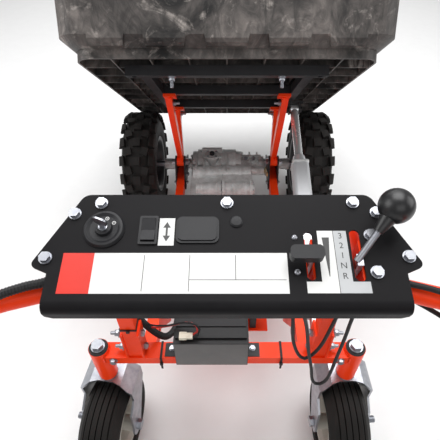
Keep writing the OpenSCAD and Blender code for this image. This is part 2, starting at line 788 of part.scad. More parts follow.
module chassis_bolts() {
    color(zinc) {
        on_panel() for (p = panel_bolts_at) translate(p) flange_bolt(panel_bolt_d, panel_sheet + strip_t + 8);
        for (side = [-1, 1]) {
            for (z = post_bolts_z) translate([side * post_x, stem_y, z])
                cross_bolt(post_bolt_d, post_w + 2 * bracket_plate);
            translate([side * rail_x, pivot[1], pivot_h]) cross_bolt(pivot_d, rail_w + 10);
            for (y = [-62, -112]) translate([side * rail_x, y, rail_top - rail_h / 2]) difference() {
                cross_bolt(8, rail_w + 10);
                cube([rail_w, 20, 20], center = true);
            }
            translate([side * 247, stem_y - beam_w / 2, beam_top - 11]) rotate([90, 0, 0]) flange_bolt(8, 0);
        }
        for (x = [-1, 1], y = [-1, 1]) translate([x * engine_bolts[0], y * engine_bolts[1] - engine_back,
            rail_top])
            mirror([0, 0, 1]) flange_bolt(8, 0);
        for (x = [battery_x - 88, battery_x + 88]) translate([x, stem_y + 3, beam_top + tray_t])
            flange_bolt(6, 0);
        translate([actuator_x, anchor_y, anchor_z]) rotate([0, 90, 0]) {
            translate([0, 0, -anchor_stand - rail_w - 8])
                cylinder(d = actuator_pin_d, h = anchor_stand + rail_w + 46);
            translate([0, 0, -anchor_stand - rail_w - 8]) cylinder(d = 22, h = 8, $fn = 6);
            translate([0, 0, 26]) cylinder(d = 22, h = 9, $fn = 6);
        }
    }
}

// Battery

module battery() {
    color("#232326") translate([battery_x, battery_rear + battery_size[1] / 2, beam_top + tray_t]) {
        translate([0, 0, battery_size[2] / 2 - 3]) cube(battery_size - [0, 0, 6], center = true);
        box_at([0, 3, battery_size[2] - 3.5], [battery_size[0] - 8, battery_size[1] - 14, 7]);
        box_at([0, 14, battery_size[2] + 1], [battery_size[0] - 8, 24, 4]);
    }
}

module battery_tray() {
    color(black) difference() {
        union() {
            box_at([battery_x, stem_y, beam_top + tray_t / 2], [206, beam_w - 6, tray_t]);
            for (f = [-1, 1])
                box_at([battery_x + f * (battery_size[0] / 2 + 1.2), stem_y, beam_top + 12], [1.6, 26, 24]);
        }
    }
}

// Drive train

module transaxle_case() {
    color(alloy) difference() {
        union() {
            pin_x([0, 0, axle_z], axle_tube_d, 496);
            pin_x([-40, 0, axle_z], 116, 150);
            pin_x([-40, 0, axle_z], 100, 190);
            pin_x([70, 0, axle_z], 62, 150);
            box_at([-20, -120, axle_z + 2], [232, 210, 54]);
            box_at([36, -150, axle_z + 12], [112, 150, 58]);
            pin_x([-20, -96, axle_z + 26], 56, 220);
            box_at([-5, 0, axle_z + 4], [276, 12, 72]);
            box_at([-58, 0, axle_z + 30], [78, 12, 90]);
            translate([-58, -30, axle_z]) cylinder(d = 44, h = 68);
            translate([-58, -30, axle_z + 60]) cylinder(d = 56, h = 9);
            for (x = [-118, -88, -28, 2]) box_at([x, -60, axle_z + 36], [7, 96, 40]);
            for (x = [30, 60, 90, 120]) box_at([x, 0, axle_z + 18], [6, 56, 40]);
            for (a = [62, 95, 128]) pin_x([66, 31 * cos(a), axle_z + 31 * sin(a)], 9, 140);
            for (x = [-84, -32]) translate([x, -30, axle_z]) cylinder(d = 18, h = 62);
            for (x = [-70, -10, 50]) pin_x([x, -96, axle_z + 26], 62, 8);
            translate([input_x, -input_back, case_bottom - 4]) cylinder(d = 50, h = 20);
            pin_x([118, -70, axle_z + 20], 34, 50);
        }
        pin_x([0, 0, axle_z], axle_shaft_d + 4 * run_gap, big);
        translate([input_x, -input_back, case_bottom - 5]) cylinder(d = 18 + 2 * run_gap, h = 36);
        pin_x([140, -70, axle_z + 20], 14 + 2 * run_gap, 60);
    }
}

shift_arm_x = 149;

module shift_arm() {
    color("#c8a850") difference() {
        union() {
            pin_x([132, -70, axle_z + 20], 14, 42);
            translate([shift_arm_x, 0, 0]) side_plate(5) {
                translate([-70, axle_z + 20]) circle(d = 26);
                translate([0, axle_z]) polygon([[-64.9, 29.7], [-75.1, 10.3], [-140.2, 48.8], [-133.8, 61.2]]);
                translate([-137, axle_z + 55]) circle(d = 16);
            }
        }
        pin_x([shift_arm_x, -137, axle_z + 55], 6.4, 20);
    }
}

module pulley(r) {
    rotate_extrude() polygon([[0, -11], [r + 9, -11], [r + 9, -belt_w / 2 - 2.6],
        [r - 0.5, -belt_w / 2 - face_gap],
        [r - 0.5, belt_w / 2 + face_gap], [r + 9, belt_w / 2 + 2.6], [r + 9, 11], [0, 11]]);
}

module engine_pulley() {
    color("#8f9296") translate([0, -engine_back, 0]) {
        translate([0, 0, belt_z]) pulley(engine_pulley_r);
        translate([0, 0, belt_z - 14]) cylinder(d = 22, h = engine_deck + 22 - belt_z + 14);
    }
}

module input_pulley() {
    color("#8f9296") translate([input_x, -input_back, 0]) {
        translate([0, 0, belt_z]) pulley(input_pulley_r);
        translate([0, 0, belt_z - 14]) cylinder(d = 18, h = case_bottom + 28 - belt_z + 14);
    }
}

// The open belt: an arc round each pulley and two straight runs that end a hair inside the arcs
belt_run = [input_x, engine_back - input_back];
belt_base = atan2(belt_run[1], belt_run[0]);
belt_swing = asin((input_pulley_r - engine_pulley_r) / norm(belt_run));
belt_l = norm(belt_run) * cos(belt_swing);
belt_skin = 0.02;

module belt_arc(r, start, sweep) {
    rotate(start) rotate_extrude(angle = sweep) translate([r, -belt_w / 2]) square([belt_t, belt_w]);
}

module drive_belt() {
    color(rubber) translate([0, -engine_back, belt_z]) {
        belt_arc(engine_pulley_r, belt_base + 90 + belt_swing, 180 - 2 * belt_swing);
        translate(belt_run) belt_arc(input_pulley_r, belt_base - 90 - belt_swing, 180 + 2 * belt_swing);
        for (side = [0, 1]) rotate(belt_base) mirror([0, side, 0]) rotate(90 + belt_swing)
            translate([engine_pulley_r + belt_skin, -belt_l - weld, -belt_w / 2 + belt_skin])
                cube([belt_t - 2 * belt_skin, belt_l + 2 * weld, belt_w - 2 * belt_skin]);
    }
}

fin_count = 7;

block_r = 75;
fin_top = 89;

module engine_block() {
    color(alloy) translate([0, -engine_back, engine_deck]) difference() {
        union() {
            box_at([0, 0, 9], [170, 160, 18]);
            cylinder(r = block_r, h = 84);
            box_at([0, 66, 50], [96, 84, 62]);
            for (k = [0:fin_count - 1]) box_at([0, 54 + 8 * k, fin_top / 2 + 5.5], [110, 3.5, fin_top - 11]);
        }
        translate([0, 0, -1]) cylinder(d = 22 + 2 * run_gap, h = 30);
        for (x = [-1, 1], y = [-1, 1]) translate([x * engine_bolts[0], y * engine_bolts[1], -1])
            cylinder(d = 8, h = 12);
    }
}

shroud_z = engine_deck + fin_top + face_gap;

module engine_shroud() {
    color("#2b2c2f") translate([0, -engine_back, shroud_z]) difference() {
        union() {
            rotate_extrude() polygon([[0, 0], [98, 0], [100, 6], [98, 58], [88, 76], [62, 82], [60, 96],
                [50, 104], [0, 106]]);
            translate([0, 60, 33]) cube([120, 90, 66], center = true);
        }
        translate([0, 0, -1]) cylinder(d = 176, h = 60);
        translate([0, 60, 28]) cube([112, 82, 64], center = true);
        for (a = [0:30:330]) rotate(a) translate([36, 0, 90]) cube([28, 6, 60], center = true);
    }
}

module fuel_tank() {
    lift = 84;
    color("#303236") translate([0, tank_y, engine_deck]) {
        translate([0, 0, lift]) linear_extrude(86) rounded_rect(214, 66, 26);
        translate([70, 0, lift]) cylinder(d = 44, h = 92);
        translate([70, 0, lift + 90]) cylinder(d = 52, h = 16);
        for (side = [-1, 1]) box_at([side * 70, 0, lift / 2 + weld], [16, 36, lift + 2 * weld]);
    }
}

muffler_x = 112;
muffler_z = engine_deck + 56;

module muffler() {
    color("#5a5754") {
        translate([muffler_x, -650, muffler_z]) rotate([-90, 0, 0]) {
            cylinder(d = 62, h = 120);
            translate([0, 0, 56]) cylinder(d = 66, h = 8);
        }
        pin_x([(muffler_x - 12 + block_r + face_gap) / 2, -570, muffler_z], 24,
            muffler_x - 12 - block_r - face_gap);
    }
}

air_box = [96, 70, 77];

module air_cleaner() {
    color(black)
        translate([-block_r - face_gap - air_box[2] / 2, -engine_back, shroud_z - face_gap - air_box[1] / 2])
        rotate([90, 0, 90]) linear_extrude(air_box[2], center = true)
            rounded_rect(air_box[0], air_box[1], 16);
}

// Casters

module caster_bushes() {
    color(black) for (side = [-1, 1]) translate([side * stem_x, stem_y, 0]) {
        for (end = [[sleeve_bottom, 1], [sleeve_top, 0]])
            translate([0, 0, end[0]]) mirror([0, 0, 1 - end[1]]) difference() {
            union() {
                translate([0, 0, -bush_flange]) cylinder(d = sleeve_d - 6, h = bush_flange);
                cylinder(d = sleeve_bore - 2 * run_gap, h = 26);
            }
            translate([0, 0, -bush_flange - 1]) cylinder(d = caster_stem_d + 2 * run_gap, h = 40);
        }
    }
}

fork_half = fork_inside / 2 + fork_plate;
crown_half = 36;
crown_back = 23;

module caster_fork() {
    shoulder = 26;
    color(zinc) difference() {
        union() {
            rotate([90, 0, 0]) linear_extrude(2 * crown_half, center = true) difference() {
                polygon([[-fork_half, crown_top - shoulder - 40], [-fork_half, crown_top - shoulder],
                    [-fork_half + shoulder, crown_top], [fork_half - shoulder, crown_top],
                    [fork_half, crown_top - shoulder], [fork_half, crown_top - shoulder - 40]]);
                polygon([[-fork_inside / 2, crown_top - shoulder - 41],
                    [-fork_inside / 2, crown_top - shoulder - fork_plate * 0.41],
                    [-fork_inside / 2 + shoulder - fork_plate * 0.2, crown_top - fork_plate],
                    [fork_inside / 2 - shoulder + fork_plate * 0.2, crown_top - fork_plate],
                    [fork_inside / 2, crown_top - shoulder - fork_plate * 0.41],
                    [fork_inside / 2, crown_top - shoulder - 41]]);
            }
            for (f = [-1, 1]) translate([f * (fork_half - fork_plate / 2), 0, 0]) side_plate(fork_plate) {
                polygon([[-crown_half, crown_top - shoulder - 38], [crown_half, crown_top - shoulder - 38],
                    [-caster_trail + 24, caster_axle_z - 6], [-caster_trail - 24, caster_axle_z - 6],
                    [-crown_half - 30, crown_top - shoulder - 60]]);
                translate([-caster_trail, caster_axle_z]) circle(r = 25);
            }
        }
        pin_x([0, -caster_trail, caster_axle_z], caster_axle_d + 0.2, big);
        translate([0, 0, crown_top - 20]) cylinder(d = caster_stem_d + 0.2, h = 40);
        translate([0, 0, crown_top - shoulder - 30]) linear_extrude(big)
            polygon([[2 - fork_inside / 2, -crown_half - 1], [fork_inside / 2 - 2, -crown_half - 1],
                [18, -crown_back], [-18, -crown_back]]);
    }
}

washer_t = 3;

module caster_bolts() {
    top = sleeve_top + bush_flange + face_gap;
    color(zinc) {
        translate([0, 0, crown_top - fork_plate - 14])
            cylinder(d = caster_stem_d, h = top - crown_top + fork_plate + 14 + 4);
        translate([0, 0, top]) cylinder(d = sleeve_d - 14, h = washer_t);
        translate([0, 0, top + washer_t]) cylinder(d = 26, h = 10, $fn = 6);
        translate([0, 0, crown_top - fork_plate - 12]) cylinder(d = 30, h = 12, $fn = 6);
        translate([0, -caster_trail, caster_axle_z]) rotate([0, 90, 0]) {
            translate([0, 0, -fork_half - 30]) cylinder(d = caster_axle_d, h = 2 * fork_half + 38);
            translate([0, 0, fork_half]) cylinder(d = 26, h = 10, $fn = 6);
            translate([0, 0, -fork_half - 14]) cylinder(d = 26, h = 14, $fn = 6);
        }
    }
}

groove_count = 5;

module caster_tyre() {
    r = caster_tyre_d / 2;
    w = caster_tyre_w / 2;
    bead = caster_rim_d / 2 + face_gap;
    color(rubber) translate([0, -caster_trail, caster_axle_z])
        rotate([0, 90, 0]) rotate_extrude($fn = 96) difference() {
        polygon([[bead, -w + 12], [bead + 12, -w + 12], [bead + 17, -w + 3], [bead + 30, -w], [r - 20, -w + 3],
            [r - 7, -w + 13], [r - 1.5, -w + 24], [r, -w + 38], [r, w - 38], [r - 1.5, w - 24], [r - 7, w - 13],
            [r - 20, w - 3], [bead + 30, w], [bead + 17, w - 3], [bead + 12, w - 12], [bead, w - 12]]);
        for (k = [0:groove_count - 1]) let(at = (k - (groove_count - 1) / 2) * 14)
            translate([r - 6 - abs(at) * 0.05, at - 1.3]) square([12, 2.6]);
    }
}

module caster_rim() {
    r = caster_rim_d / 2;
    half = caster_tyre_w / 2 - 12 + face_gap;
    hub_r = 19;
    color("#b9b3a6") translate([0, -caster_trail, caster_axle_z]) rotate([0, 90, 0]) difference() {
        union() {
            rotate_extrude() polygon([[r, -half], [r + 11, -half], [r + 11, -half - 3], [r - 4, -half - 4],
                [r - 8, -half + 6],
                [r - 9, -6], [hub_r - 1, -6], [hub_r - 1, 6], [r - 9, 6], [r - 8, half - 6], [r - 4, half + 4],
                [r + 11, half + 3], [r + 11, half], [r, half]]);
            cylinder(r = hub_r, h = fork_inside - 4, center = true);
        }
        cylinder(d = caster_axle_d + 2 * run_gap, h = big, center = true);
        for (a = [0:60:300]) rotate(a) translate([42, 0, 0]) cylinder(d = 18, h = 40, center = true);
    }
}

module caster_fork_left() {
    at_caster(-1, caster_left_angle) caster_fork();
}
module caster_bolts_left() {
    at_caster(-1, caster_left_angle) caster_bolts();
}
module caster_tyre_left() {
    at_caster(-1, caster_left_angle) caster_tyre();
}
module caster_rim_left() {
    at_caster(-1, caster_left_angle) caster_rim();
}
module caster_fork_right() {
    at_caster(1, caster_right_angle) mirror([1, 0, 0]) caster_fork();
}
module caster_bolts_right() {
    at_caster(1, caster_right_angle) mirror([1, 0, 0]) caster_bolts();
}
module caster_tyre_right() {
    at_caster(1, caster_right_angle) caster_tyre();
}
module caster_rim_right() {
    at_caster(1, caster_right_angle) caster_rim();
}

// Drive wheels, drawn about their own axis along Z

tyre_points = 28;
tyre_power = 2.7;
rim_well = 5;

function swell(a, half) = half * sign(a) * pow(abs(a), 2 / tyre_power);

module carcass_profile() {
    rim_r = drive_rim_d / 2;
    out = drive_tyre_d / 2 - lug_h;
    mid = (rim_r - 8 + out) / 2;
    intersection() {
        polygon([for (i = [0:tyre_points - 1]) let(a = 360 * i / tyre_points)
            [mid + swell(cos(a), out - mid), swell(sin(a), drive_tyre_w / 2 - 3)]]);
        translate([rim_r - rim_well + face_gap, -drive_tyre_w]) square([drive_tyre_d, 2 * drive_tyre_w]);
    }
}

module lug(turn, at, size, twist) {
    rotate(turn) translate([drive_tyre_d / 2 - lug_h, 0, at]) rotate([twist, 0, 0])
        cube([3 * lug_h, size[0], size[1]], center = true);
}

module drive_tyre() {
    pitch = 360 / lug_count;
    color(rubber) union() {
        rotate_extrude($fn = 96) carcass_profile();
        intersection() {
            rotate_extrude($fn = 96) {
                r = drive_tyre_d / 2;
                w = drive_tyre_w / 2;
                polygon([[r - 24, -w + 6], [r - 22, -w], [r - 8, -w + 4], [r, -w + 18], [r, w - 18],
                    [r - 8, w - 4],
                    [r - 22, w], [r - 24, w - 6]]);
            }
            union() {
                for (k = [0:lug_count - 1]) {
                    lug(k * pitch, 0, [30, 26], 0);
                    lug((k + 0.5) * pitch, 30, [28, 24], 14);
                    lug((k + 0.5) * pitch, -30, [28, 24], -14);
                    lug(k * pitch, 56, [34, 24], 8);
                    lug(k * pitch, -56, [34, 24], -8);
                }
            }
        }
    }
}

rim_flange = 9;

module drive_rim() {
    r = drive_rim_d / 2;
    half = drive_tyre_w / 2 - 16;
    color("#2c2c2e") difference() {
        rotate_extrude() polygon([[r - rim_well, -half], [r - 1, -half - 3], [r + rim_flange, -half - 8],
            [r + rim_flange - 1, -half - 10],
            [r - 4, -half - 8], [r - 9, -half], [r - 20, -4], [62, 8], [axle_shaft_d / 2 + 12, 10],
            [axle_shaft_d / 2 + 0.1, 10], [axle_shaft_d / 2 + 0.1, 22], [axle_shaft_d / 2 + 14, 22], [62, 15],
            [r - 16, 3],
            [r - 9, half], [r - 4, half + 8], [r + rim_flange - 1, half + 10], [r + rim_flange, half + 8],
            [r - 1, half + 3],
            [r - rim_well, half]]);
        for (a = [0:60:300]) rotate(a + 30) translate([74, 0, 0]) cylinder(d = 20, h = 60, center = true);
    }
}

module axle_shaft() {
    color(zinc) {
        translate([0, 0, 60 - drive_track / 2]) cylinder(d = axle_shaft_d, h = drive_track / 2 - 60 + 34);
        translate([0, 0, -16]) cylinder(d = axle_shaft_d + 24, h = 26);
        translate([0, 0, 22]) cylinder(d = 36, h = 12, $fn = 6);
    }
}

module at_drive(side) {
    translate([side * drive_track / 2, 0, axle_z]) rotate([0, side * 90, 0]) rotate(90) children();
}

module drive_tyre_left() {
    at_drive(-1) drive_tyre();
}
module drive_rim_left() {
    at_drive(-1) drive_rim();
}
module axle_shaft_left() {
    at_drive(-1) axle_shaft();
}
module drive_tyre_right() {
    at_drive(1) drive_tyre();
}
module drive_rim_right() {
    at_drive(1) drive_rim();
}
module axle_shaft_right() {
    at_drive(1) axle_shaft();
}

// Tub, drawn flat about the tilt pivot

module tub_slab(half, rear, front, z, h, r) {
    for (side = [-1, 1], y = [rear + r, front - r]) translate([side * (half - r), y, z])
        cylinder(r = r, h = h, $fn = hull_fn);
}

thin = 0.2;
floor_z = tub_clear + skirt_h;

// The tub's body as a loft from the chamfer to the rim, inset by t
module tub_loft(t, top) {
    hull() {
        tub_slab(tub_bottom_w / 2 - t, tub_rear + t, tub_front - t, floor_z + t, thin, corner_r - t);
        tub_slab(tub_body_half - t, tub_rear - chamfer_out + t, tub_front + chamfer_out - t,
            floor_z + chamfer_h + t * 0.4, thin, corner_r - t);
        tub_slab(tub_body_half + draft_out - t, tub_rear - rear_draft + t,
            tub_front + chamfer_out + front_flare - t,
            top - thin, thin, corner_r - t);
    }
}

rib_t = 3;
rib_h = skirt_h + 1;
diagonal_turn = 31;
diagonal_l = 292;

// The grid and the two diagonals that stiffen the floor, as one flat figure
module rib_figure() {
    for (k = [1:ribs_across]) translate([0, tub_rear + k * tub_bottom_l / (ribs_across + 1)])
        square([tub_bottom_w - 2 * skirt_inset - tub_wall, rib_t], center = true);
    for (k = [1:ribs_along])
        translate([-tub_bottom_w / 2 + k * tub_bottom_w / (ribs_along + 1), tub_front - tub_bottom_l / 2])
            square([rib_t, tub_bottom_l - 2 * skirt_inset - tub_wall], center = true);
    for (f = [-1, 1])
        translate([f * tub_bottom_w * 0.22, tub_front - tub_bottom_l * 0.33]) rotate(f * diagonal_turn)
        square([rib_t, diagonal_l], center = true);
}

module tub_ribs() {
    translate([0, 0, tub_clear]) linear_extrude(rib_h) rib_figure();
}

skirt_inset = 2;

module skirt_outline(inset) {
    translate([0, tub_front - tub_bottom_l / 2])
        rounded_rect(tub_bottom_w - 2 * inset, tub_bottom_l - 2 * inset, corner_r - inset);
}

module tub_skirt() {
    translate([0, 0, tub_clear]) linear_extrude(skirt_h + 2) difference() {
        skirt_outline(skirt_inset);
        skirt_outline(skirt_inset + tub_wall);
    }
}

step_w = 52;
steps_at = [-205, -70, 70, 205];

// The full, rounded edge along the rear, broken by four steps where the plain chamfer shows
module rear_bulge() {
    difference() {
        side_plate(tub_bottom_w - 2 * corner_r) translate([tub_rear, floor_z])
            polygon([[1.2, 1.6], [-15, 1.4], [-24, 6], [-29, 14], [-29.4, 25], [-26.8, 23.6]]);
        for (x = steps_at) translate([x, tub_rear - chamfer_out, floor_z - 1]) rotate([90, 0, 0])
            linear_extrude(4 * chamfer_out, center = true)
                polygon([[-step_w / 2, 0], [step_w / 2, 0], [step_w / 2 - 10, 40], [10 - step_w / 2, 40]]);
    }
}

module rim_slab(inset, z, h) {
    hull() tub_slab(tub_rim_half - inset, tub_rear - rear_draft - rim_out + inset, tub_rim_front - inset, z, h,
        corner_r + rim_out - inset);
}

rim_skin = 4;

module tub_shell() {
    color("#2d2d30") in_tub() {
        difference() {
            union() {
                tub_loft(0, tub_top - 1);
                rim_slab(0, tub_top - rim_h, rim_h);
            }
            tub_loft(tub_wall, tub_top + 1);
            difference() {
                rim_slab(rim_skin, tub_top - rim_h - 1, rim_h + 1 - rim_skin);
                rim_slab(rim_out - 2, tub_top - rim_h - 2, rim_h);
            }
        }
        tub_skirt();
        rear_bulge();
        tub_ribs();
    }
}

eye_ear_x = 16;

module tub_subframe() {
    half = 244;
    wall = 2.5;
    color(black) in_tub() difference() {
        union() {
            for (side = [-1, 1]) box_at([side * sub_rail_x, (sub_bars[0] + 150) / 2, sub_top - sub_tube / 2],
                [sub_tube, 150 - sub_bars[0], sub_tube]);
            box_at([0, sub_bars[0], sub_top - sub_tube / 2], [2 * half, sub_tube, sub_tube]);
            for (k = [1, 2]) box_at([0, sub_bars[k], sub_top - sub_tube / 2],
                [2 * sub_rail_x, sub_tube, sub_tube]);
            box_at([(actuator_x + eye_ear_x + sub_rail_x) / 2, rod_eye[0], sub_bottom - 2],
                [actuator_x + eye_ear_x - sub_rail_x + sub_tube, 40, 4]);
            for (f = [-1, 1]) {
                translate([actuator_x + f * eye_ear_x, 0, 0]) side_plate(4) {
                    translate([rod_eye[0] - 18, rod_eye[1]]) square([36, sub_bottom - rod_eye[1] - weld]);
                    translate(rod_eye) circle(r = 18);
                }
                pin_x([actuator_x + f * (eye_ear_x + 5), rod_eye[0], rod_eye[1]], 19, 7);
            }
        }
        box_at([0, sub_bars[0], sub_top - sub_tube / 2], [big, sub_tube - 2 * wall, sub_tube - 2 * wall]);
        translate([half - 20, sub_bars[0], sub_bottom - 1]) cylinder(d = 12, h = sub_tube + 2);
        translate([20 - half, sub_bars[0], sub_bottom - 1]) cylinder(d = 12, h = sub_tube + 2);
    }
}

arm_depth = 26;
arm_wall = 4;
foot_t = 8;
arm_foot = [36, 40, foot_t];
arm_boss_d = 36;
arm_flange = 24;

// The side view of one prong, from the pivot up to a bar under the tub
module prong_view(y, from_edge, w) {
    rotate(atan2(sub_bottom, y)) translate([0, from_edge - arm_depth / 2])
        square([norm([y, sub_bottom]), w]);
}

module arm_view(w) {
    difference() {
        for (k = [1, 2]) prong_view(sub_bars[k], 0, w);
        translate([-big / 2, sub_bottom - foot_t / 2]) square(big);
        if (w < arm_depth) circle(d = arm_boss_d - 2);
    }
}

// A lift arm: a flat plate with two prongs, a flange along each prong, a boss and two feet
module lift_arms() {
    color(red) in_tub() for (side = [-1, 1]) difference() {
        union() {
            translate([side * (rail_x - arm_w / 2 + arm_wall), 0, 0])
                side_plate(2 * arm_wall) arm_view(arm_depth);
            translate([side * (rail_x - arm_w / 2 + arm_flange / 2), 0, 0])
                side_plate(arm_flange) arm_view(arm_wall);
            pin_x([side * rail_x, 0, 0], arm_boss_d, arm_w);
            for (k = [1, 2]) box_at([side * arm_top_x, sub_bars[k], sub_bottom - foot_t / 2], arm_foot);
        }
        pin_x([side * rail_x, 0, 0], pivot_d + 2 * run_gap, 2 * arm_w);
    }
}

// Actuator, drawn along +Y from its rear pin

module actuator_body() {
    boot = 26;
    color(alloy) on_actuator() difference() {
        union() {
            translate([0, 34, 0]) rotate([-90, 0, 0]) linear_extrude(actuator_body_l - 34 - boot)
                rounded_rect(actuator_w, actuator_w, 10);
            translate([0, actuator_body_l - boot - weld, 0]) rotate([-90, 0, 0])
                cylinder(d1 = actuator_w - 2, d2 = actuator_rod_d + 9, h = boot);
            pin_x([0, 0, 0], 34, 22);
            box_at([0, 20, 0], [22, 32, 30]);
        }
        pin_x([0, 0, 0], actuator_pin_d + 2 * run_gap, big);
        translate([0, 180, 0]) rotate([-90, 0, 0])
            cylinder(d = actuator_rod_d + 2 * run_gap, h = actuator_body_l);
    }
}

module actuator_rod() {
    color("#c4c6c9") on_actuator() difference() {
        union() {
            translate([0, 370, 0]) rotate([-90, 0, 0]) cylinder(d = actuator_rod_d, h = actuator_l - 370 - 10);
            translate([0, actuator_l, 0]) pin_x([0, 0, 0], 30, 24);
        }
        translate([0, actuator_l, 0]) pin_x([0, 0, 0], actuator_pin_d + 2 * run_gap, big);
    }
}

// Cables

control_cable_d = 7;
loom_d = 16;
lead_d = 4;
lead_plug_size = [27, 15, 9];
lead_plug = [-81.5, -938.5, beam_top + tray_t + battery_size[2] + lead_plug_size[2] / 2];
bar_loom_d = 13;
bar_cable_d = 8;

module control_cables() {
    color(black) {
        cable(raised(drive_cable_route), control_cable_d, 3);
        cable(raised(throttle_cable_route), control_cable_d, 3);
    }
}

module wiring_loom() {
    color(black) cable(raised(loom_route), loom_d, 3, 10, [0.2, -0.3, 0.05]);
}

module battery_leads() {
    color("firebrick") cable(red_lead_route, lead_d, 3, 8, [0.1, 0.2, 0.9]);
    color(black) cable(black_lead_route, lead_d, 3, 8, [0.1, 0.2, 0.9]);
    color("#d8d2c0") box_at(lead_plug, lead_plug_size);
}

module handlebar_cables() {
    color(black) {
        cable(raised(left_loom_route), bar_loom_d, 3, 10, [0, 0, 1]);
        cable(raised(right_cable_route), bar_cable_d, 3, 8, [0, 0, 1]);
    }
}

whole() {
    rear_cross_beam();
    frame_rails();
    engine_plate();
    pivot_brackets();
    tub_rests();
    tub_bumpers();
    console_posts();
    handlebar_left();
    handlebar_right();
    handle_grips();
    console_frame();
    control_panel();
    chassis_bolts();
    key_switch();
    rocker_bezel();
    panel_covers();
    battery();
    battery_tray();
    transaxle_case();
    engine_block();
    engine_shroud();
    fuel_tank();
    muffler();
    air_cleaner();
    drive_belt();
    caster_bushes();
    control_cables();
    wiring_loom();
    battery_leads();
    handlebar_cables();
    caster_fork_left();
    caster_bolts_left();
    caster_tyre_left();
    caster_rim_left();
    caster_fork_right();
    caster_bolts_right();
    caster_tyre_right();
    caster_rim_right();
    drive_tyre_left();
    drive_rim_left();
    axle_shaft_left();
    drive_tyre_right();
    drive_rim_right();
    axle_shaft_right();
    tub_shell();
    tub_subframe();
    lift_arms();
    actuator_body();
    actuator_rod();
    throttle_lever();
    throttle_knob();
    shift_lever();
    shift_knob();
    ignition_key();
    rocker();
    presence_lever();
    drive_lever();
    engine_pulley();
    input_pulley();
    shift_arm();
}
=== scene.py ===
# %% [markdown]
# # A walk-behind dump wagon, dressed for its portrait
# The solids arrive finished and packed: every tube, wheel and lever is already in its place and rides on
# its own body. This lesson adds what solids don't have: finishes with real detail, cables that hang,
# labels, welds, threads and other small parts. The frame is in metres, and +Y points forward.

# %% Load the frame
import math

import bmesh
import bpy
from mathutils import Matrix, Vector


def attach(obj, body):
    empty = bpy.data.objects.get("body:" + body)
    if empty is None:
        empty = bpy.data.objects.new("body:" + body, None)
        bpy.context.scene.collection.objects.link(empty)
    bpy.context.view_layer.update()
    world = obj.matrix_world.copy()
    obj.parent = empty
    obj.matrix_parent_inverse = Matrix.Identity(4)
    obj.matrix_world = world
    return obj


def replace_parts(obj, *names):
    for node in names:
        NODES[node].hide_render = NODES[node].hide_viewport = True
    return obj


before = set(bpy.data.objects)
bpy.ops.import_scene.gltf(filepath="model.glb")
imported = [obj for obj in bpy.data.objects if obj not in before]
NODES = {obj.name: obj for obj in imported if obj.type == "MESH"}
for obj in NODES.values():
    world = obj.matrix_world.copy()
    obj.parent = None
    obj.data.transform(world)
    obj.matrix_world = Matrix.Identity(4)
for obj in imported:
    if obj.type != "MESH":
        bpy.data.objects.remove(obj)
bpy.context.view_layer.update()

# %% [markdown]
# ## Where things are
# The wagon was drawn in millimetres, with its zero on the floor below the drive axle. Four matrices turn a
# drawing place into the frame: for the machine, the sloping panel, the tilted tub and the leaning actuator.
# The places of the posts, caster stems and rear beam have names, because several pieces meet there.


# %% Places on the drawing
def moved(x, y, z):
    return Matrix.Translation((x, y, z))


def rotated(degrees, axis):
    return Matrix.Rotation(math.radians(degrees), 4, axis)


AXLE_AHEAD = 414.306
PANEL_SLOPE = 16
TUB_TILT = 39.2
ACTUATOR_SLOPE = 16.43615
DRAWING = Matrix.Scale(0.001, 4) @ moved(0, AXLE_AHEAD, 0)
PANEL = DRAWING @ moved(0, -972, 831) @ rotated(PANEL_SLOPE, "X")
TUB = DRAWING @ moved(0, -80, 275) @ rotated(-TUB_TILT, "X")
ACTUATOR = DRAWING @ moved(215, -840, 342) @ rotated(ACTUATOR_SLOPE, "X")
FORWARD = rotated(-90, "X")
REARWARD = rotated(90, "X")
SIDEWAYS = rotated(90, "Y")

POST_X = 197
POST_HALF = 15
STEM_X = 280
STEM_Y = -915
BEAM_BACK = -934
BEAM_FRONT = -896
BEAM_LOW = 367
BEAM_TOP = 392


def spot(x, y, z):
    return DRAWING @ Vector((x, y, z))


print("panel reference", tuple(round(v, 4) for v in PANEL @ Vector((0, 0, 0))))

# %% [markdown]
# ## The camera
# The photograph looks down at 45 degrees from above the grips. The panel's outline, which is a known flat
# shape, gave the lens and the place; the picture's middle lies a little to one side of the machine's.

# %% Camera
camera_data = bpy.data.cameras.new("portrait_camera")
camera_data.lens = 34.36
camera_data.sensor_width = 36.0
camera_data.shift_x = -0.0159
camera = bpy.data.objects.new("portrait_camera", camera_data)
camera.location = spot(0, -1365, 1245)
camera.rotation_euler = (math.radians(45), 0, 0)
bpy.context.collection.objects.link(camera)
bpy.context.scene.camera = camera
print("camera at", tuple(round(v, 3) for v in camera.location))

# %% [markdown]
# ## Node groups that several finishes share
# Grain, blotches and scratches turn up on paint, plastic and metal alike, and dust lies on the tyres. Each is
# one node group that puts out a value, so that every material can place it with its own scale.


# %% Shared effects
def node_group(name, inputs, outputs):
    group = bpy.data.node_groups.new(name, "ShaderNodeTree")
    for label, start in inputs:
        socket = group.interface.new_socket(label, in_out="INPUT", socket_type="NodeSocketFloat")
        socket.default_value = start
    for label in outputs:
        group.interface.new_socket(label, in_out="OUTPUT", socket_type="NodeSocketFloat")
    return group, group.nodes.new("NodeGroupInput"), group.nodes.new("NodeGroupOutput")


def object_coordinates(tree):
    return tree.nodes.new("ShaderNodeTexCoord").outputs["Object"]


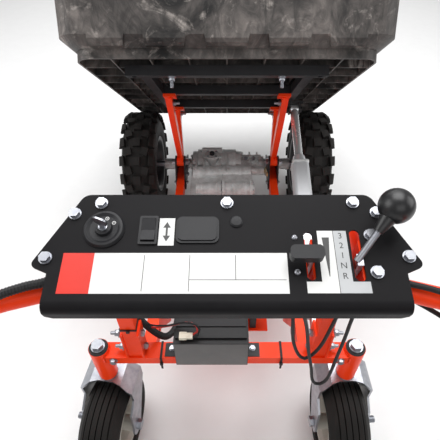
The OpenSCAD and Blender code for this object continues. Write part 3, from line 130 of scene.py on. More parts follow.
def noise(tree, coordinates, scale, detail=3.0, rough=0.55):
    node = tree.nodes.new("ShaderNodeTexNoise")
    tree.links.new(coordinates, node.inputs["Vector"])
    if isinstance(scale, (int, float)):
        node.inputs["Scale"].default_value = scale
    else:
        tree.links.new(scale, node.inputs["Scale"])
    node.inputs["Detail"].default_value = detail
    node.inputs["Roughness"].default_value = rough
    return node.outputs["Fac"]


def ramp(tree, value, low, high, start=0.0, end=1.0):
    node = tree.nodes.new("ShaderNodeMapRange")
    tree.links.new(value, node.inputs["Value"])
    for label, number in (("From Min", low), ("From Max", high), ("To Min", start), ("To Max", end)):
        if isinstance(number, (int, float)):
            node.inputs[label].default_value = number
        else:
            tree.links.new(number, node.inputs[label])
    return node.outputs["Result"]


def math_node(tree, kind, a, b):
    node = tree.nodes.new("ShaderNodeMath")
    node.operation = kind
    for socket, value in zip(node.inputs, (a, b)):
        if isinstance(value, (int, float)):
            socket.default_value = value
        else:
            tree.links.new(value, socket)
    return node.outputs[0]


GRAIN, inlet, outlet = node_group("fine_grain", [("Scale", 900.0)], ["Height"])
grain_noise = noise(GRAIN, object_coordinates(GRAIN), inlet.outputs["Scale"], 4.0, 0.6)
GRAIN.links.new(grain_noise, outlet.inputs["Height"])

BLOTCH, inlet, outlet = node_group("blotches", [("Scale", 14.0), ("Low", 0.45), ("High", 0.7)], ["Mask"])
blotch_noise = noise(BLOTCH, object_coordinates(BLOTCH), inlet.outputs["Scale"], 6.0, 0.62)
blotch_mask = ramp(BLOTCH, blotch_noise, inlet.outputs["Low"], inlet.outputs["High"])
BLOTCH.links.new(blotch_mask, outlet.inputs["Mask"])

SCRATCH, inlet, outlet = node_group("scratches", [("Scale", 5.0), ("Low", 0.6)], ["Mask"])
streaks = []
for turn in (0.35, -0.5, 1.35):
    drawn_out = SCRATCH.nodes.new("ShaderNodeMapping")
    drawn_out.inputs["Rotation"].default_value = (turn, 0.7 * turn, turn)
    drawn_out.inputs["Scale"].default_value = (1.0, 26.0, 9.0)
    SCRATCH.links.new(object_coordinates(SCRATCH), drawn_out.inputs["Vector"])
    streak_noise = noise(SCRATCH, drawn_out.outputs[0], inlet.outputs["Scale"], 5.0, 0.7)
    streaks.append(ramp(SCRATCH, streak_noise, inlet.outputs["Low"], 0.78))
crossed = math_node(SCRATCH, "MAXIMUM", math_node(SCRATCH, "MAXIMUM", streaks[0], streaks[1]), streaks[2])
SCRATCH.links.new(crossed, outlet.inputs["Mask"])

DUST, inlet, outlet = node_group("dust_on_top", [("Scale", 9.0), ("Amount", 0.5)], ["Mask"])
facing = DUST.nodes.new("ShaderNodeNewGeometry")
split = DUST.nodes.new("ShaderNodeSeparateXYZ")
DUST.links.new(facing.outputs["Normal"], split.inputs[0])
upward = ramp(DUST, split.outputs["Z"], 0.2, 0.95)
patches = ramp(DUST, noise(DUST, object_coordinates(DUST), inlet.outputs["Scale"], 6.0, 0.65), 0.35, 0.75)
settled = math_node(DUST, "MULTIPLY", math_node(DUST, "MULTIPLY", upward, patches), inlet.outputs["Amount"])
DUST.links.new(settled, outlet.inputs["Mask"])
print("node groups", sorted(g.name for g in bpy.data.node_groups))

# %% [markdown]
# ## Finishes
# A finish is a Principled BSDF with its own colour, plus whichever of the shared effects the real surface
# shows. The helper below builds the common layout: a base colour that drifts a little, a second colour laid
# over it by a mask, roughness that follows the same masks, and a bump.


# %% A finish
def mix_colour(tree, mask, a, b):
    node = tree.nodes.new("ShaderNodeMix")
    node.data_type = "RGBA"
    tree.links.new(mask, node.inputs["Factor"])
    sockets = [s for s in node.inputs if s.type == "RGBA"]
    for socket, value in zip(sockets, (a, b)):
        if isinstance(value, tuple):
            socket.default_value = (*value, 1.0)
        else:
            tree.links.new(value, socket)
    return [s for s in node.outputs if s.type == "RGBA"][0]


def placed(tree, group, **values):
    node = tree.nodes.new("ShaderNodeGroup")
    node.node_tree = group
    for label, value in values.items():
        node.inputs[label].default_value = value
    return node.outputs[0]


def blank_finish(name, metallic=0.0):
    material = bpy.data.materials.new(name)
    material.use_nodes = True
    shader = material.node_tree.nodes["Principled BSDF"]
    shader.inputs["Metallic"].default_value = metallic
    return material, material.node_tree, shader


def bump(tree, shader, height, strength, distance=0.001):
    node = tree.nodes.new("ShaderNodeBump")
    node.inputs["Strength"].default_value = strength
    node.inputs["Distance"].default_value = distance
    tree.links.new(height, node.inputs["Height"])
    tree.links.new(node.outputs["Normal"], shader.inputs["Normal"])


DUST_SCALE = 9.0
SCUFF_ROUGHENS = 0.15
DUST_ROUGHENS = 0.25
COAT_ROUGHNESS = 0.12


def finish(name, colour, drift, rough, metallic=0.0, grain=(900.0, 0.1), scuff=None, dust=None, coat=0.0,
           blotch=(14.0, 0.4, 0.75), rough_swing=0.12, shine=0.5):
    material, tree, shader = blank_finish(name, metallic)
    shader.inputs["Specular IOR Level"].default_value = shine
    patch = placed(tree, BLOTCH, Scale=blotch[0], Low=blotch[1], High=blotch[2])
    shade = mix_colour(tree, patch, colour, drift)
    roughness = ramp(tree, patch, 0.0, 1.0, rough, rough + rough_swing)
    if scuff:
        scuff_colour, scale, low = scuff
        mask = placed(tree, SCRATCH, Scale=scale, Low=low)
        shade = mix_colour(tree, mask, shade, scuff_colour)
        roughness = math_node(tree, "ADD", roughness, math_node(tree, "MULTIPLY", mask, SCUFF_ROUGHENS))
    if dust:
        dust_colour, amount = dust
        mask = placed(tree, DUST, Scale=DUST_SCALE, Amount=amount)
        shade = mix_colour(tree, mask, shade, dust_colour)
        roughness = math_node(tree, "ADD", roughness, math_node(tree, "MULTIPLY", mask, DUST_ROUGHENS))
    tree.links.new(shade, shader.inputs["Base Color"])
    tree.links.new(roughness, shader.inputs["Roughness"])
    shader.inputs["Coat Weight"].default_value = coat
    if coat:
        shader.inputs["Coat Roughness"].default_value = COAT_ROUGHNESS
    bump(tree, shader, placed(tree, GRAIN, Scale=grain[0]), grain[1])
    return material


FRAME_PAINT = finish("orange_powder_coat", (0.96, 0.056, 0.008), (0.90, 0.046, 0.006), 0.30,
                     grain=(420.0, 0.10), scuff=((0.95, 0.10, 0.03), 7.0, 0.70), coat=0.04, shine=0.14)
BLACK_PAINT = finish("black_powder_coat", (0.018, 0.018, 0.020), (0.026, 0.026, 0.028), 0.36,
                     grain=(700.0, 0.16), scuff=((0.07, 0.07, 0.073), 6.0, 0.72), shine=0.25)
PANEL_PAINT = finish("panel_powder_coat", (0.0085, 0.008, 0.009), (0.012, 0.0115, 0.0125), 0.46,
                     grain=(1500.0, 0.14), scuff=((0.05, 0.05, 0.053), 9.0, 0.73), shine=0.09)
BLACK_PLASTIC = finish("moulded_black_plastic", (0.016, 0.016, 0.018), (0.022, 0.022, 0.024), 0.42,
                       grain=(1400.0, 0.14), shine=0.25)
GLOSS_PLASTIC = finish("polished_black_ball", (0.010, 0.010, 0.011), (0.014, 0.014, 0.015), 0.32,
                       grain=(600.0, 0.02), rough_swing=0.06)
GRIP_RUBBER = finish("soft_black_rubber", (0.020, 0.019, 0.019), (0.030, 0.029, 0.028), 0.72,
                     grain=(1100.0, 0.22))
ZINC = finish("bright_zinc", (0.42, 0.43, 0.46), (0.30, 0.31, 0.35), 0.32, 1.0, grain=(260.0, 0.05),
              scuff=((0.34, 0.34, 0.35), 8.0, 0.70), blotch=(60.0, 0.35, 0.75))
YELLOW_ZINC = finish("yellow_zinc", (0.62, 0.47, 0.20), (0.50, 0.33, 0.20), 0.30, 1.0, grain=(400.0, 0.06),
                     blotch=(70.0, 0.35, 0.7))
TYRE = finish("tyre_rubber", (0.014, 0.013, 0.0125), (0.024, 0.022, 0.021), 0.62, grain=(900.0, 0.22),
              scuff=((0.07, 0.064, 0.058), 9.0, 0.70), dust=((0.075, 0.069, 0.062), 0.2), shine=0.18)
CASTER_TYRE = finish("caster_tyre_rubber", (0.012, 0.0112, 0.0105), (0.022, 0.020, 0.0185), 0.55,
                     grain=(800.0, 0.2), scuff=((0.07, 0.064, 0.058), 10.0, 0.71), shine=0.14)
RIM_DARK = finish("dark_rim_paint", (0.030, 0.030, 0.033), (0.045, 0.045, 0.048), 0.35, grain=(500.0, 0.1))
RIM_PALE = finish("pale_rim_paint", (0.52, 0.50, 0.45), (0.42, 0.40, 0.35), 0.40, grain=(500.0, 0.1))
BATTERY_CASE = finish("battery_case_plastic", (0.014, 0.014, 0.015), (0.022, 0.022, 0.024), 0.45,
                      grain=(900.0, 0.2), shine=0.25)
CAST_ALLOY = finish("cast_aluminium", (0.76, 0.77, 0.77), (0.50, 0.50, 0.49), 0.42, 0.35, grain=(380.0, 0.45),
                    blotch=(40.0, 0.35, 0.7), scuff=((0.88, 0.88, 0.88), 12.0, 0.66))
ANODISED = finish("clear_anodised_extrusion", (0.68, 0.69, 0.71), (0.60, 0.61, 0.63), 0.34, 0.6,
                  grain=(500.0, 0.05), scuff=((0.50, 0.51, 0.52), 8.0, 0.72))
ROD_STEEL = finish("ground_rod_steel", (0.78, 0.79, 0.80), (0.70, 0.71, 0.73), 0.22, 0.7,
                   grain=(1200.0, 0.04))
DARK_STEEL = finish("oiled_dark_steel", (0.12, 0.12, 0.125), (0.08, 0.075, 0.07), 0.45, 0.85,
                    grain=(500.0, 0.15))
JACKET = finish("cable_jacket", (0.010, 0.010, 0.011), (0.017, 0.017, 0.018), 0.48,
                grain=(1600.0, 0.08), shine=0.3)
RED_JACKET = finish("red_cable_jacket", (0.50, 0.018, 0.012), (0.42, 0.014, 0.010), 0.42,
                    grain=(1600.0, 0.06))
VINYL = (300.0, 0.02)
LABEL_WHITE = finish("white_vinyl", (0.66, 0.66, 0.65), (0.62, 0.62, 0.61), 0.34, grain=VINYL, shine=0.3)
LABEL_RED = finish("red_vinyl", (0.62, 0.030, 0.018), (0.56, 0.026, 0.015), 0.32, grain=VINYL, shine=0.3)
LABEL_GREY = finish("grey_vinyl", (0.40, 0.41, 0.42), (0.36, 0.37, 0.38), 0.34, grain=VINYL)
LABEL_INK = finish("black_label_ink", (0.012, 0.012, 0.012), (0.018, 0.018, 0.018), 0.38, grain=VINYL)
PALE_PLASTIC = finish("pale_connector_plastic", (0.72, 0.68, 0.56), (0.66, 0.62, 0.50), 0.45,
                      grain=(900.0, 0.06))
print("finishes", len(bpy.data.materials))

# %% [markdown]
# ## The tub's plastic
# A rotation-moulded tub is matte and faintly pebbled, and use polishes it in broad curling sweeps: loads and
# brushes drag pale bands over the dark plastic. Noise that is bent by its own distortion curls in the same
# way, so one broad layer lays the sweeps down and a fine, stretched layer draws the strokes inside them.


# %% Tub plastic
def curled(tree, scale, distortion, low, high, stretch=(1.0, 1.0, 1.0)):
    mapped = tree.nodes.new("ShaderNodeMapping")
    mapped.inputs["Scale"].default_value = stretch
    tree.links.new(object_coordinates(tree), mapped.inputs["Vector"])
    fac = noise(tree, mapped.outputs[0], scale, 8.0, 0.62)
    fac.node.inputs["Distortion"].default_value = distortion
    return ramp(tree, fac, low, high)


TUB_PLASTIC, tub_tree, tub_shader = blank_finish("moulded_tub_plastic")
sweeps = curled(tub_tree, 4.2, 1.6, 0.36, 0.60)
strokes = curled(tub_tree, 26.0, 2.4, 0.36, 0.68, (1.0, 0.55, 0.55))
stroke_share = math_node(tub_tree, "MULTIPLY", strokes, 0.65)
worn = math_node(tub_tree, "MULTIPLY", sweeps, math_node(tub_tree, "ADD", 0.35, stroke_share))
rubbed = math_node(tub_tree, "MULTIPLY", curled(tub_tree, 9.0, 3.2, 0.56, 0.70), strokes)
plastic = mix_colour(tub_tree, worn, (0.010, 0.0095, 0.0095), (0.165, 0.145, 0.134))
plastic = mix_colour(tub_tree, rubbed, plastic, (0.42, 0.38, 0.35))
tub_tree.links.new(plastic, tub_shader.inputs["Base Color"])
tub_tree.links.new(ramp(tub_tree, worn, 0.0, 1.0, 0.42, 0.66), tub_shader.inputs["Roughness"])
tub_shader.inputs["Specular IOR Level"].default_value = 0.35
bump(tub_tree, tub_shader, math_node(tub_tree, "ADD", placed(tub_tree, GRAIN, Scale=520.0), strokes), 0.30)
print("tub finish", TUB_PLASTIC.name, len(tub_tree.nodes), "nodes")

# %% [markdown]
# ## Finishes on the solids
# Each solid keeps its own object; only what is in its material slot changes.

# %% Dress the solids
DRESS = {
    FRAME_PAINT: ["rear_cross_beam", "frame_rails", "engine_plate", "tub_rests", "console_posts",
                  "handlebar_left", "handlebar_right", "console_frame", "lift_arms"],
    BLACK_PAINT: ["pivot_brackets", "battery_tray", "tub_subframe", "presence_lever", "drive_lever"],
    PANEL_PAINT: ["control_panel"],
    BLACK_PLASTIC: ["key_switch", "rocker_bezel", "panel_covers", "rocker", "throttle_knob", "air_cleaner",
                    "engine_shroud", "fuel_tank", "caster_bushes"],
    GLOSS_PLASTIC: ["shift_knob"],
    GRIP_RUBBER: ["handle_grips", "tub_bumpers", "drive_belt"],
    ZINC: ["chassis_bolts", "caster_fork_left", "caster_fork_right", "caster_bolts_left",
           "caster_bolts_right", "axle_shaft_left", "axle_shaft_right", "throttle_lever", "shift_lever",
           "ignition_key"],
    YELLOW_ZINC: ["shift_arm"],
    TYRE: ["drive_tyre_left", "drive_tyre_right"],
    CASTER_TYRE: ["caster_tyre_left", "caster_tyre_right"],
    RIM_DARK: ["drive_rim_left", "drive_rim_right"],
    RIM_PALE: ["caster_rim_left", "caster_rim_right"],
    TUB_PLASTIC: ["tub_shell"],
    BATTERY_CASE: ["battery"],
    CAST_ALLOY: ["transaxle_case", "engine_block"],
    ANODISED: ["actuator_body"],
    ROD_STEEL: ["actuator_rod"],
    DARK_STEEL: ["muffler", "engine_pulley", "input_pulley"],
    JACKET: ["control_cables", "wiring_loom", "battery_leads", "handlebar_cables"],
}
for material, names in DRESS.items():
    for name in names:
        mesh = NODES[name].data
        mesh.materials.clear()
        mesh.materials.append(material)
print("dressed", sum(len(v) for v in DRESS.values()), "of", len(NODES))

# %% [markdown]
# ## Floor and light
# A white studio: one broad plane of pale floor and big soft lights above, at both sides and behind the
# camera. One more lights only the floor beyond the wagon, so that it fades to white as a studio sweep does.

# %% Floor and light
FLOOR_HALF = 14.0
FLOOR_DROP = 0.0005
FLOOR = finish("studio_floor", (0.82, 0.82, 0.82), (0.80, 0.80, 0.80), 0.6, grain=(60.0, 0.0))
floor_mesh = bmesh.new()
bmesh.ops.create_grid(floor_mesh, x_segments=1, y_segments=1, size=FLOOR_HALF)
floor_data = bpy.data.meshes.new("studio_floor")
floor_mesh.to_mesh(floor_data)
floor_mesh.free()
floor_data.materials.append(FLOOR)
floor = bpy.data.objects.new("studio_floor", floor_data)
floor.location.z = -FLOOR_DROP
bpy.context.collection.objects.link(floor)


def soft_light(name, place, aim, size, power):
    data = bpy.data.lights.new(name, "AREA")
    data.shape = "RECTANGLE"
    data.size, data.size_y = size
    data.energy = power
    light = bpy.data.objects.new(name, data)
    light.location = place
    light.rotation_euler = (Vector(aim) - Vector(place)).to_track_quat("-Z", "Y").to_euler()
    bpy.context.collection.objects.link(light)


soft_light("top_softbox", (0.1, 0.5, 3.4), (0, 0.05, 0.3), (2.6, 2.6), 112)
soft_light("left_softbox", (-3.0, -0.6, 2.1), (0, -0.3, 0.5), (2.2, 2.2), 50)
soft_light("right_softbox", (3.0, -0.4, 2.1), (0, -0.2, 0.5), (2.2, 2.2), 38)
soft_light("rear_softbox", (0.4, -3.2, 2.4), (0, 0, 0.4), (2.6, 1.8), 19)
soft_light("backdrop_softbox", (0, 3.6, 2.8), (0, 3.0, 0), (4.5, 1.4), 46)
world = bpy.data.worlds.new("studio")
world.use_nodes = True
sky = world.node_tree.nodes["Background"]
sky.inputs["Color"].default_value = (1, 1, 1, 1)
sky.inputs["Strength"].default_value = 0.30
bpy.context.scene.world = world
bpy.context.scene.view_settings.view_transform = "Standard"
print("lights", len(bpy.data.lights))

# %% [markdown]
# ## Cables
# Each cable keeps the route that its solid has, as one smooth curve. The looms are split corrugated tube:
# the curve's own radius rises and falls along the length, which gives true ridges.


# %% Cable helper
SPAN_STEPS = 24
RIDGE_STEP = 2.0
PLAIN_STEP = 12.0
GROOVE = 0.88


def smooth_route(route, step_mm):
    points = [Vector(p) for p in route]
    dense = []
    for i in range(len(points) - 1):
        a = points[max(i - 1, 0)]
        b, c = points[i], points[i + 1]
        d = points[min(i + 2, len(points) - 1)]
        for k in range(SPAN_STEPS):
            t = k / SPAN_STEPS
            dense.append(0.5 * (2 * b + (c - a) * t + (2 * a - 5 * b + 4 * c - d) * t * t
                                + (3 * b - a - 3 * c + d) * t ** 3))
    dense.append(points[-1])
    lengths = [0.0]
    for p, q in zip(dense, dense[1:]):
        lengths.append(lengths[-1] + (q - p).length)
    count = max(8, round(lengths[-1] / step_mm))
    even, at = [], 0
    for k in range(count + 1):
        goal = lengths[-1] * k / count
        while at < len(dense) - 2 and lengths[at + 1] < goal:
            at += 1
        share = (goal - lengths[at]) / max(1e-9, lengths[at + 1] - lengths[at])
        even.append(dense[at].lerp(dense[at + 1], min(1.0, share)))
    return even, lengths[-1]


def cable(name, stands_for, route, thick_mm, material, ridged=False):
    points, length = smooth_route(route, RIDGE_STEP if ridged else PLAIN_STEP)
    data = bpy.data.curves.new(name, "CURVE")
    data.dimensions = "3D"
    data.bevel_depth = thick_mm / 2000
    data.bevel_resolution = 3
    data.use_fill_caps = True
    spline = data.splines.new("POLY")
    spline.points.add(len(points) - 1)
    for k, (target, point) in enumerate(zip(spline.points, points)):
        target.co = (*spot(*point), 1.0)
        target.radius = GROOVE if ridged and k % 2 else 1.0
    spline.use_smooth = not ridged
    piece = bpy.data.objects.new(name, data)
    bpy.context.collection.objects.link(piece)
    data.materials.append(material)
    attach(piece, "chassis")
    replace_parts(piece, stands_for)
    print(name, round(length), "mm")


# %% [markdown]
# ## Where the cables run
# A control cable hangs in a loop below the panel, long enough for its lever's travel, before it goes forward
# to the engine. The looms and the bar's cable lie along a post or a handlebar; the leads join the battery.
# Each list holds a route's points.

# %% Cable routes
cable("drive_cable", "control_cables", [
    (321.5, -1118, 767.5), (296, -1062, 752), (240, -1010, 744), (204, -962, 690), (195, -956, 575),
    (184, -956, 484), (164, -956, 436), (146, -956, 448), (128, -956, 507), (119, -952, 585),
    (112, -925, 620), (110, -880, 560), (120, -830, 440), (128, -760, 330), (128, -700, 256),
    (128, -672, 229.6)], 7, JACKET)
cable("throttle_cable", "control_cables", [
    (96, -1010, 752), (112, -998, 700), (140, -975, 590), (157, -970, 495), (172, -970, 425),
    (184, -970, 362), (200, -970, 344), (214, -970, 372), (218, -968, 460), (222, -962, 560),
    (224, -946, 640), (212, -880, 676), (130, -840, 620), (76, -790, 510), (66, -726, 450),
    (66, -684, 392), (63.3, -664.7, 352)], 7, JACKET)
cable("main_loom", "wiring_loom", [
    (-167, -968, 772), (-162, -930, 740), (-172, -892, 700), (-190, -891.7, 640), (-193, -891.7, 570),
    (-191, -889.4, 510), (-186, -886.5, 478), (-174, -886, 446), (-152, -884, 404), (-136, -872, 376),
    (-122, -842, 362), (-120, -794, 350), (-125, -740, 300), (-125, -696, 240)], 16, JACKET, ridged=True)
cable("red_battery_lead", "battery_leads", [
    (-67.5, -936, 494), (-60, -935, 498), (-58, -928, 508), (-72, -921, 513), (-92, -917, 506),
    (-113, -913, 490), (-139, -901, 463), (-161.7, -888.1, 440.6)], 4, RED_JACKET)
cable("black_battery_lead", "battery_leads", [
    (-67.5, -941.5, 494), (-58, -941, 500), (-54, -932, 513), (-72, -925, 519), (-95, -921, 512),
    (-117, -917, 497), (-144, -904, 474), (-167.9, -888.6, 453.6)], 4, JACKET)
cable("left_bar_loom", "handlebar_cables", [
    (-316, -1119, 799), (-312, -1092, 803), (-292, -1062, 804), (-262, -1046, 804), (-234, -1036, 803),
    (-212, -1017, 803)], 13, JACKET, ridged=True)
cable("right_bar_cable", "handlebar_cables", [
    (317, -1119, 797), (313, -1092, 800), (292, -1062, 801), (262, -1046, 801), (234, -1036, 800),
    (212, -1017, 800)], 8, JACKET)
print("cables", len(bpy.data.curves))

# %% [markdown]
# ## Small parts from simple moves
# The pieces below are made the way a workshop would: a plate is cut and its edges broken, a turned part is
# a half outline spun about its axis, and a bolt circle is one part copied round. Each helper works on a
# bmesh in drawing millimetres, and one matrix moves the finished piece into the frame.


# %% Workshop helpers
SHARP_ANGLE = 35


def corners(faces):
    return list({v for f in faces for v in f.verts})


def paint_faces(faces, index):
    for face in faces:
        face.material_index = index


def break_edges(bm, faces, edge):
    edges = list({e for f in faces for e in f.edges})
    bmesh.ops.bevel(bm, geom=edges, offset=edge, segments=2, profile=0.5, affect="EDGES", material=-1)


def block(bm, low, high, edge=0.0, index=0, place=Matrix()):
    size = [b - a for a, b in zip(low, high)]
    middle = [(a + b) / 2 for a, b in zip(low, high)]
    made = bmesh.ops.create_cube(
        bm, size=1.0, matrix=place @ moved(*middle) @ Matrix.Diagonal((*size, 1.0)))
    faces = {f for v in made["verts"] for f in v.link_faces}
    paint_faces(faces, index)
    if edge:
        break_edges(bm, faces, edge)


def turned(bm, outline, place=Matrix(), steps=32, index=0):
    old = set(bm.faces)
    verts = [bm.verts.new((r, 0, h)) for r, h in outline]
    edges = [bm.edges.new(pair) for pair in zip(verts, verts[1:])]
    bmesh.ops.spin(bm, geom=verts + edges, cent=(0, 0, 0), axis=(0, 0, 1), angle=2 * math.pi, steps=steps,
                   use_merge=True)
    fresh = [f for f in bm.faces if f not in old]
    bmesh.ops.remove_doubles(bm, verts=corners(fresh), dist=1e-4)
    fresh = [f for f in bm.faces if f not in old]
    paint_faces(fresh, index)
    bmesh.ops.recalc_face_normals(bm, faces=fresh)
    bmesh.ops.transform(bm, matrix=place, verts=corners(fresh))


def hex_prism(bm, across, low, high, place=Matrix(), edge=0.0, index=0):
    made = bmesh.ops.create_cone(bm, cap_ends=True, segments=6, radius1=across / math.sqrt(3),
                                 radius2=across / math.sqrt(3), depth=high - low,
                                 matrix=place @ moved(0, 0, (low + high) / 2))
    faces = {f for v in made["verts"] for f in v.link_faces}
    paint_faces(faces, index)
    if edge:
        break_edges(bm, faces, edge)


def make_piece(name, bm, materials, body, place=DRAWING, smooth=True):
    data = bpy.data.meshes.new(name)
    bm.to_mesh(data)
    bm.free()
    data.transform(place)
    for material in materials:
        data.materials.append(material)
    for face in data.polygons:
        face.use_smooth = smooth
    if smooth:
        data.set_sharp_from_angle(angle=math.radians(SHARP_ANGLE))
    piece = bpy.data.objects.new(name, data)
    bpy.context.collection.objects.link(piece)
    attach(piece, body)
    print(name, len(data.polygons), "faces")
    return piece


# %% [markdown]
# ## The console's under-frame
# Under the panel lies a plate of 3 mm steel. It stiffens the sheet, its ears carry the two levers' pins, and
# two tabs stand on the handlebars. A plate like this is cut with its slots and bolt holes from one sheet.
# Here, too, one outline and its holes are filled and then thickened. The ends follow the panel's corners.
# On the panel, x runs across and s runs up the slope.

# %% Under-frame
# Stands a plate on edge, so that its outline is drawn in the side view
EDGEWISE = Matrix(((0, 0, 1, 0), (1, 0, 0, 0), (0, 1, 0, 0), (0, 0, 0, 1)))


def verts_in(geom):
    return [g for g in geom if isinstance(g, bmesh.types.BMVert)]


def slot_loop(x, low, high, wide, steps=8):
    r = wide / 2
    arc = [((k + 0.5) * math.pi / steps) for k in range(steps)]
    return ([(x + r * math.cos(a), high - r + r * math.sin(a)) for a in arc]
            + [(x - r * math.cos(a), low + r - r * math.sin(a)) for a in arc])


def plate(bm, loops, low, high, place=Matrix()):
    old = set(bm.faces)
    edges = []
    for loop in loops:
        verts = [bm.verts.new((a, b, low)) for a, b in loop]
        edges += [bm.edges.new(pair) for pair in zip(verts, verts[1:] + verts[:1])]
    bmesh.ops.triangle_fill(bm, use_beauty=True, edges=edges)
    sheet = [f for f in bm.faces if f not in old]
    raised = bmesh.ops.extrude_face_region(bm, geom=sheet, use_keep_orig=True)["geom"]
    bmesh.ops.translate(bm, vec=(0, 0, high - low), verts=verts_in(raised))
    fresh = [f for f in bm.faces if f not in old]
    bmesh.ops.recalc_face_normals(bm, faces=fresh)
    bmesh.ops.transform(bm, matrix=place, verts=corners(fresh))


THROTTLE_X = 109
SHIFT_X = 172
PLATE_LOW = -6
PLATE_TOP = -3
WELDED = PLATE_LOW + 0.5
BOLT_HOLE = 8.6
PIN_R = 4
PIN_EDGE = 0.6
PIN_HOLE = 8.2
under = bmesh.new()
rim = [(-233.5, -52), (-182, -52), (-182, 32), (84, 32), (84, -86), (194, -86), (194, -72), (232, -72),
       (234.5, -52), (234.5, -7.7), (210.9, 38), (196, 38), (196, 56), (-196, 56), (-196, 38), (-210.9, 38),
       (-233.5, -5.8)]
slots = [slot_loop(THROTTLE_X, -75, 2, 17.5), slot_loop(SHIFT_X, -76.5, 5.5, 20)]
bolts_at = [(-176, 43), (-210.5, 26), (0, 43.5), (176.5, 44), (207, 28), (193, -7), (193.5, -60.5)]
holes = [slot_loop(x, s - BOLT_HOLE / 2, s + BOLT_HOLE / 2, BOLT_HOLE) for x, s in bolts_at]
plate(under, [rim, *slots, *holes], PLATE_LOW, PLATE_TOP)
for x, s, drop, gap in ((THROTTLE_X, -44, 58, 5), (SHIFT_X, -46, 150, 6.5)):
    ear = [(s - 34, WELDED), (s + 34, WELDED), (s + 12, -drop - 12), (s - 12, -drop - 12)]
    eye = slot_loop(s, -drop - PIN_HOLE / 2, -drop + PIN_HOLE / 2, PIN_HOLE)
    for side in (-1, 1):
        plate(under, [ear, eye], -1.5, 1.5, moved(x + side * gap, 0, 0) @ EDGEWISE)
    half = gap + 3.5
    pin = [(0, -half), (PIN_R - PIN_EDGE, -half), (PIN_R, PIN_EDGE - half), (PIN_R, half - PIN_EDGE),
           (PIN_R - PIN_EDGE, half), (0, half)]
    turned(under, pin, moved(x, s, -drop) @ SIDEWAYS, 28)
tab = [(0, WELDED), (0, -37.5), (50, -51.8), (50, WELDED)]
for side in (-1, 1):
    plate(under, [tab], -2.5, 2.5, moved(side * POST_X, 0, 0) @ EDGEWISE)
under_frame = make_piece("console_under_frame", under, [FRAME_PAINT], "chassis", PANEL)
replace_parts(under_frame, "console_frame")

# %% [markdown]
# ## Labels on the panel
# The labels are vinyl: about 0.3 mm thick, flat, with clean cut edges. A bar of red leads the long one, thin
# rules part its fields, an arrow shows the rocker's two ways, and half of the gear label is grey.

# %% Panel labels
WHITE, RED, GREY, INK = range(4)
LIFT = 0.02
SKIN = 0.3
RULE = SKIN + 0.06
PRINT = SKIN + 0.05
labels = bmesh.new()
for low, high, colour in (
        ((-174.5, -89), (79, -33), WHITE), ((-215.5, -89), (-174.5, -33), RED),
        ((-92.4, -22), (-71.3, 19.5), WHITE), ((121.5, -73), (143, 0), WHITE), ((143, -73), (161, 0), GREY),
        ((101.7, -88.4), (143, -73), WHITE), ((143, -88.4), (183.2, -73), GREY)):
    block(labels, (*low, LIFT), (*high, SKIN), index=colour)
for divider, foot in ((-108.4, -86), (-48.8, -86), (11.2, -70.5)):
    block(labels, (divider - 0.4, foot, SKIN), (divider + 0.4, -36, RULE), index=INK)
block(labels, (-48.4, -70.9, SKIN), (76, -70.1, RULE), index=INK)
block(labels, (142.6, -88.4, SKIN), (143.4, 0, PRINT), index=INK)
half_arrow = ((-81.8, 15.0), (-87.0, 6.0), (-83.2, 6.0), (-83.2, -6.0), (-87.0, -6.0))
arrow = [(x, s) for x, s in half_arrow] + [(-163.6 - x, -s) for x, s in half_arrow]
arrow_face = labels.faces.new([labels.verts.new((x, s - 1.25, PRINT)) for x, s in arrow])
arrow_face.normal_update()
arrow_face.material_index = INK
make_piece("panel_labels", labels, [LABEL_WHITE, LABEL_RED, LABEL_GREY, LABEL_INK], "chassis",
           PANEL, smooth=False)

# %% [markdown]
# ## Gear marks
# Five marks stand beside the gear slot, in the order in which the lever meets them. The throttle's side has
# only a wedge that grows from slow to fast.

# %% Gear marks
MARK_SIZE = 12.0
MARK_X = 152.2
FIRST_MARK = -8.0
MARK_STEP = 14.4
MARK_Z = SKIN + 0.08
marks = bmesh.new()
for k, mark in enumerate("321NR"):
    curve = bpy.data.curves.new("mark_outline", "FONT")
    curve.body = mark
    curve.size = MARK_SIZE
    curve.align_x, curve.align_y = "CENTER", "CENTER"
    holder = bpy.data.objects.new("mark_outline", curve)
    mesh = bpy.data.meshes.new_from_object(holder)
    mesh.transform(moved(MARK_X, FIRST_MARK - MARK_STEP * k, MARK_Z))
    marks.from_mesh(mesh)
    bpy.data.objects.remove(holder)
    bpy.data.curves.remove(curve)
    bpy.data.meshes.remove(mesh)
wedge = ((131.6, -66), (132.6, -66), (137.0, -10), (127.2, -10))
marks.faces.new([marks.verts.new((x, s, MARK_Z)) for x, s in wedge])
bmesh.ops.recalc_face_normals(marks, faces=marks.faces)
bmesh.ops.solidify(marks, geom=marks.faces, thickness=-0.05)
make_piece("gear_marks", marks, [LABEL_INK], "chassis", PANEL, smooth=False)

# %% [markdown]
# ## Marks on the key switch
# Three small white rings on the switch's face show where the key stops: off, run and start. Such marks are
# printed on a real switch; here each is a flat spun ring, and a bar or a dot tells the rings apart.

# %% Key marks
KEY_FACE = moved(-167, 2, 3.2)
STOP_R = 15.5
stops = bmesh.new()
for turn, sign in ((124, None), (79, "bar"), (34, "dot")):
    where = KEY_FACE @ rotated(turn, "Z") @ moved(STOP_R, 0, 0)
    turned(stops, [(1.9, 0.0), (2.7, 0.0), (2.7, 0.4), (1.9, 0.4), (1.9, 0.0)], where, 28)
    if sign == "bar":
        block(stops, (-1.0, -0.3, 0.0), (1.0, 0.3, 0.4), place=where)
    if sign == "dot":
        turned(stops, [(0.0, 0.4), (0.7, 0.4), (0.7, 0.0), (0.0, 0.0)], where, 16)
make_piece("key_marks", stops, [LABEL_WHITE], "chassis", PANEL)
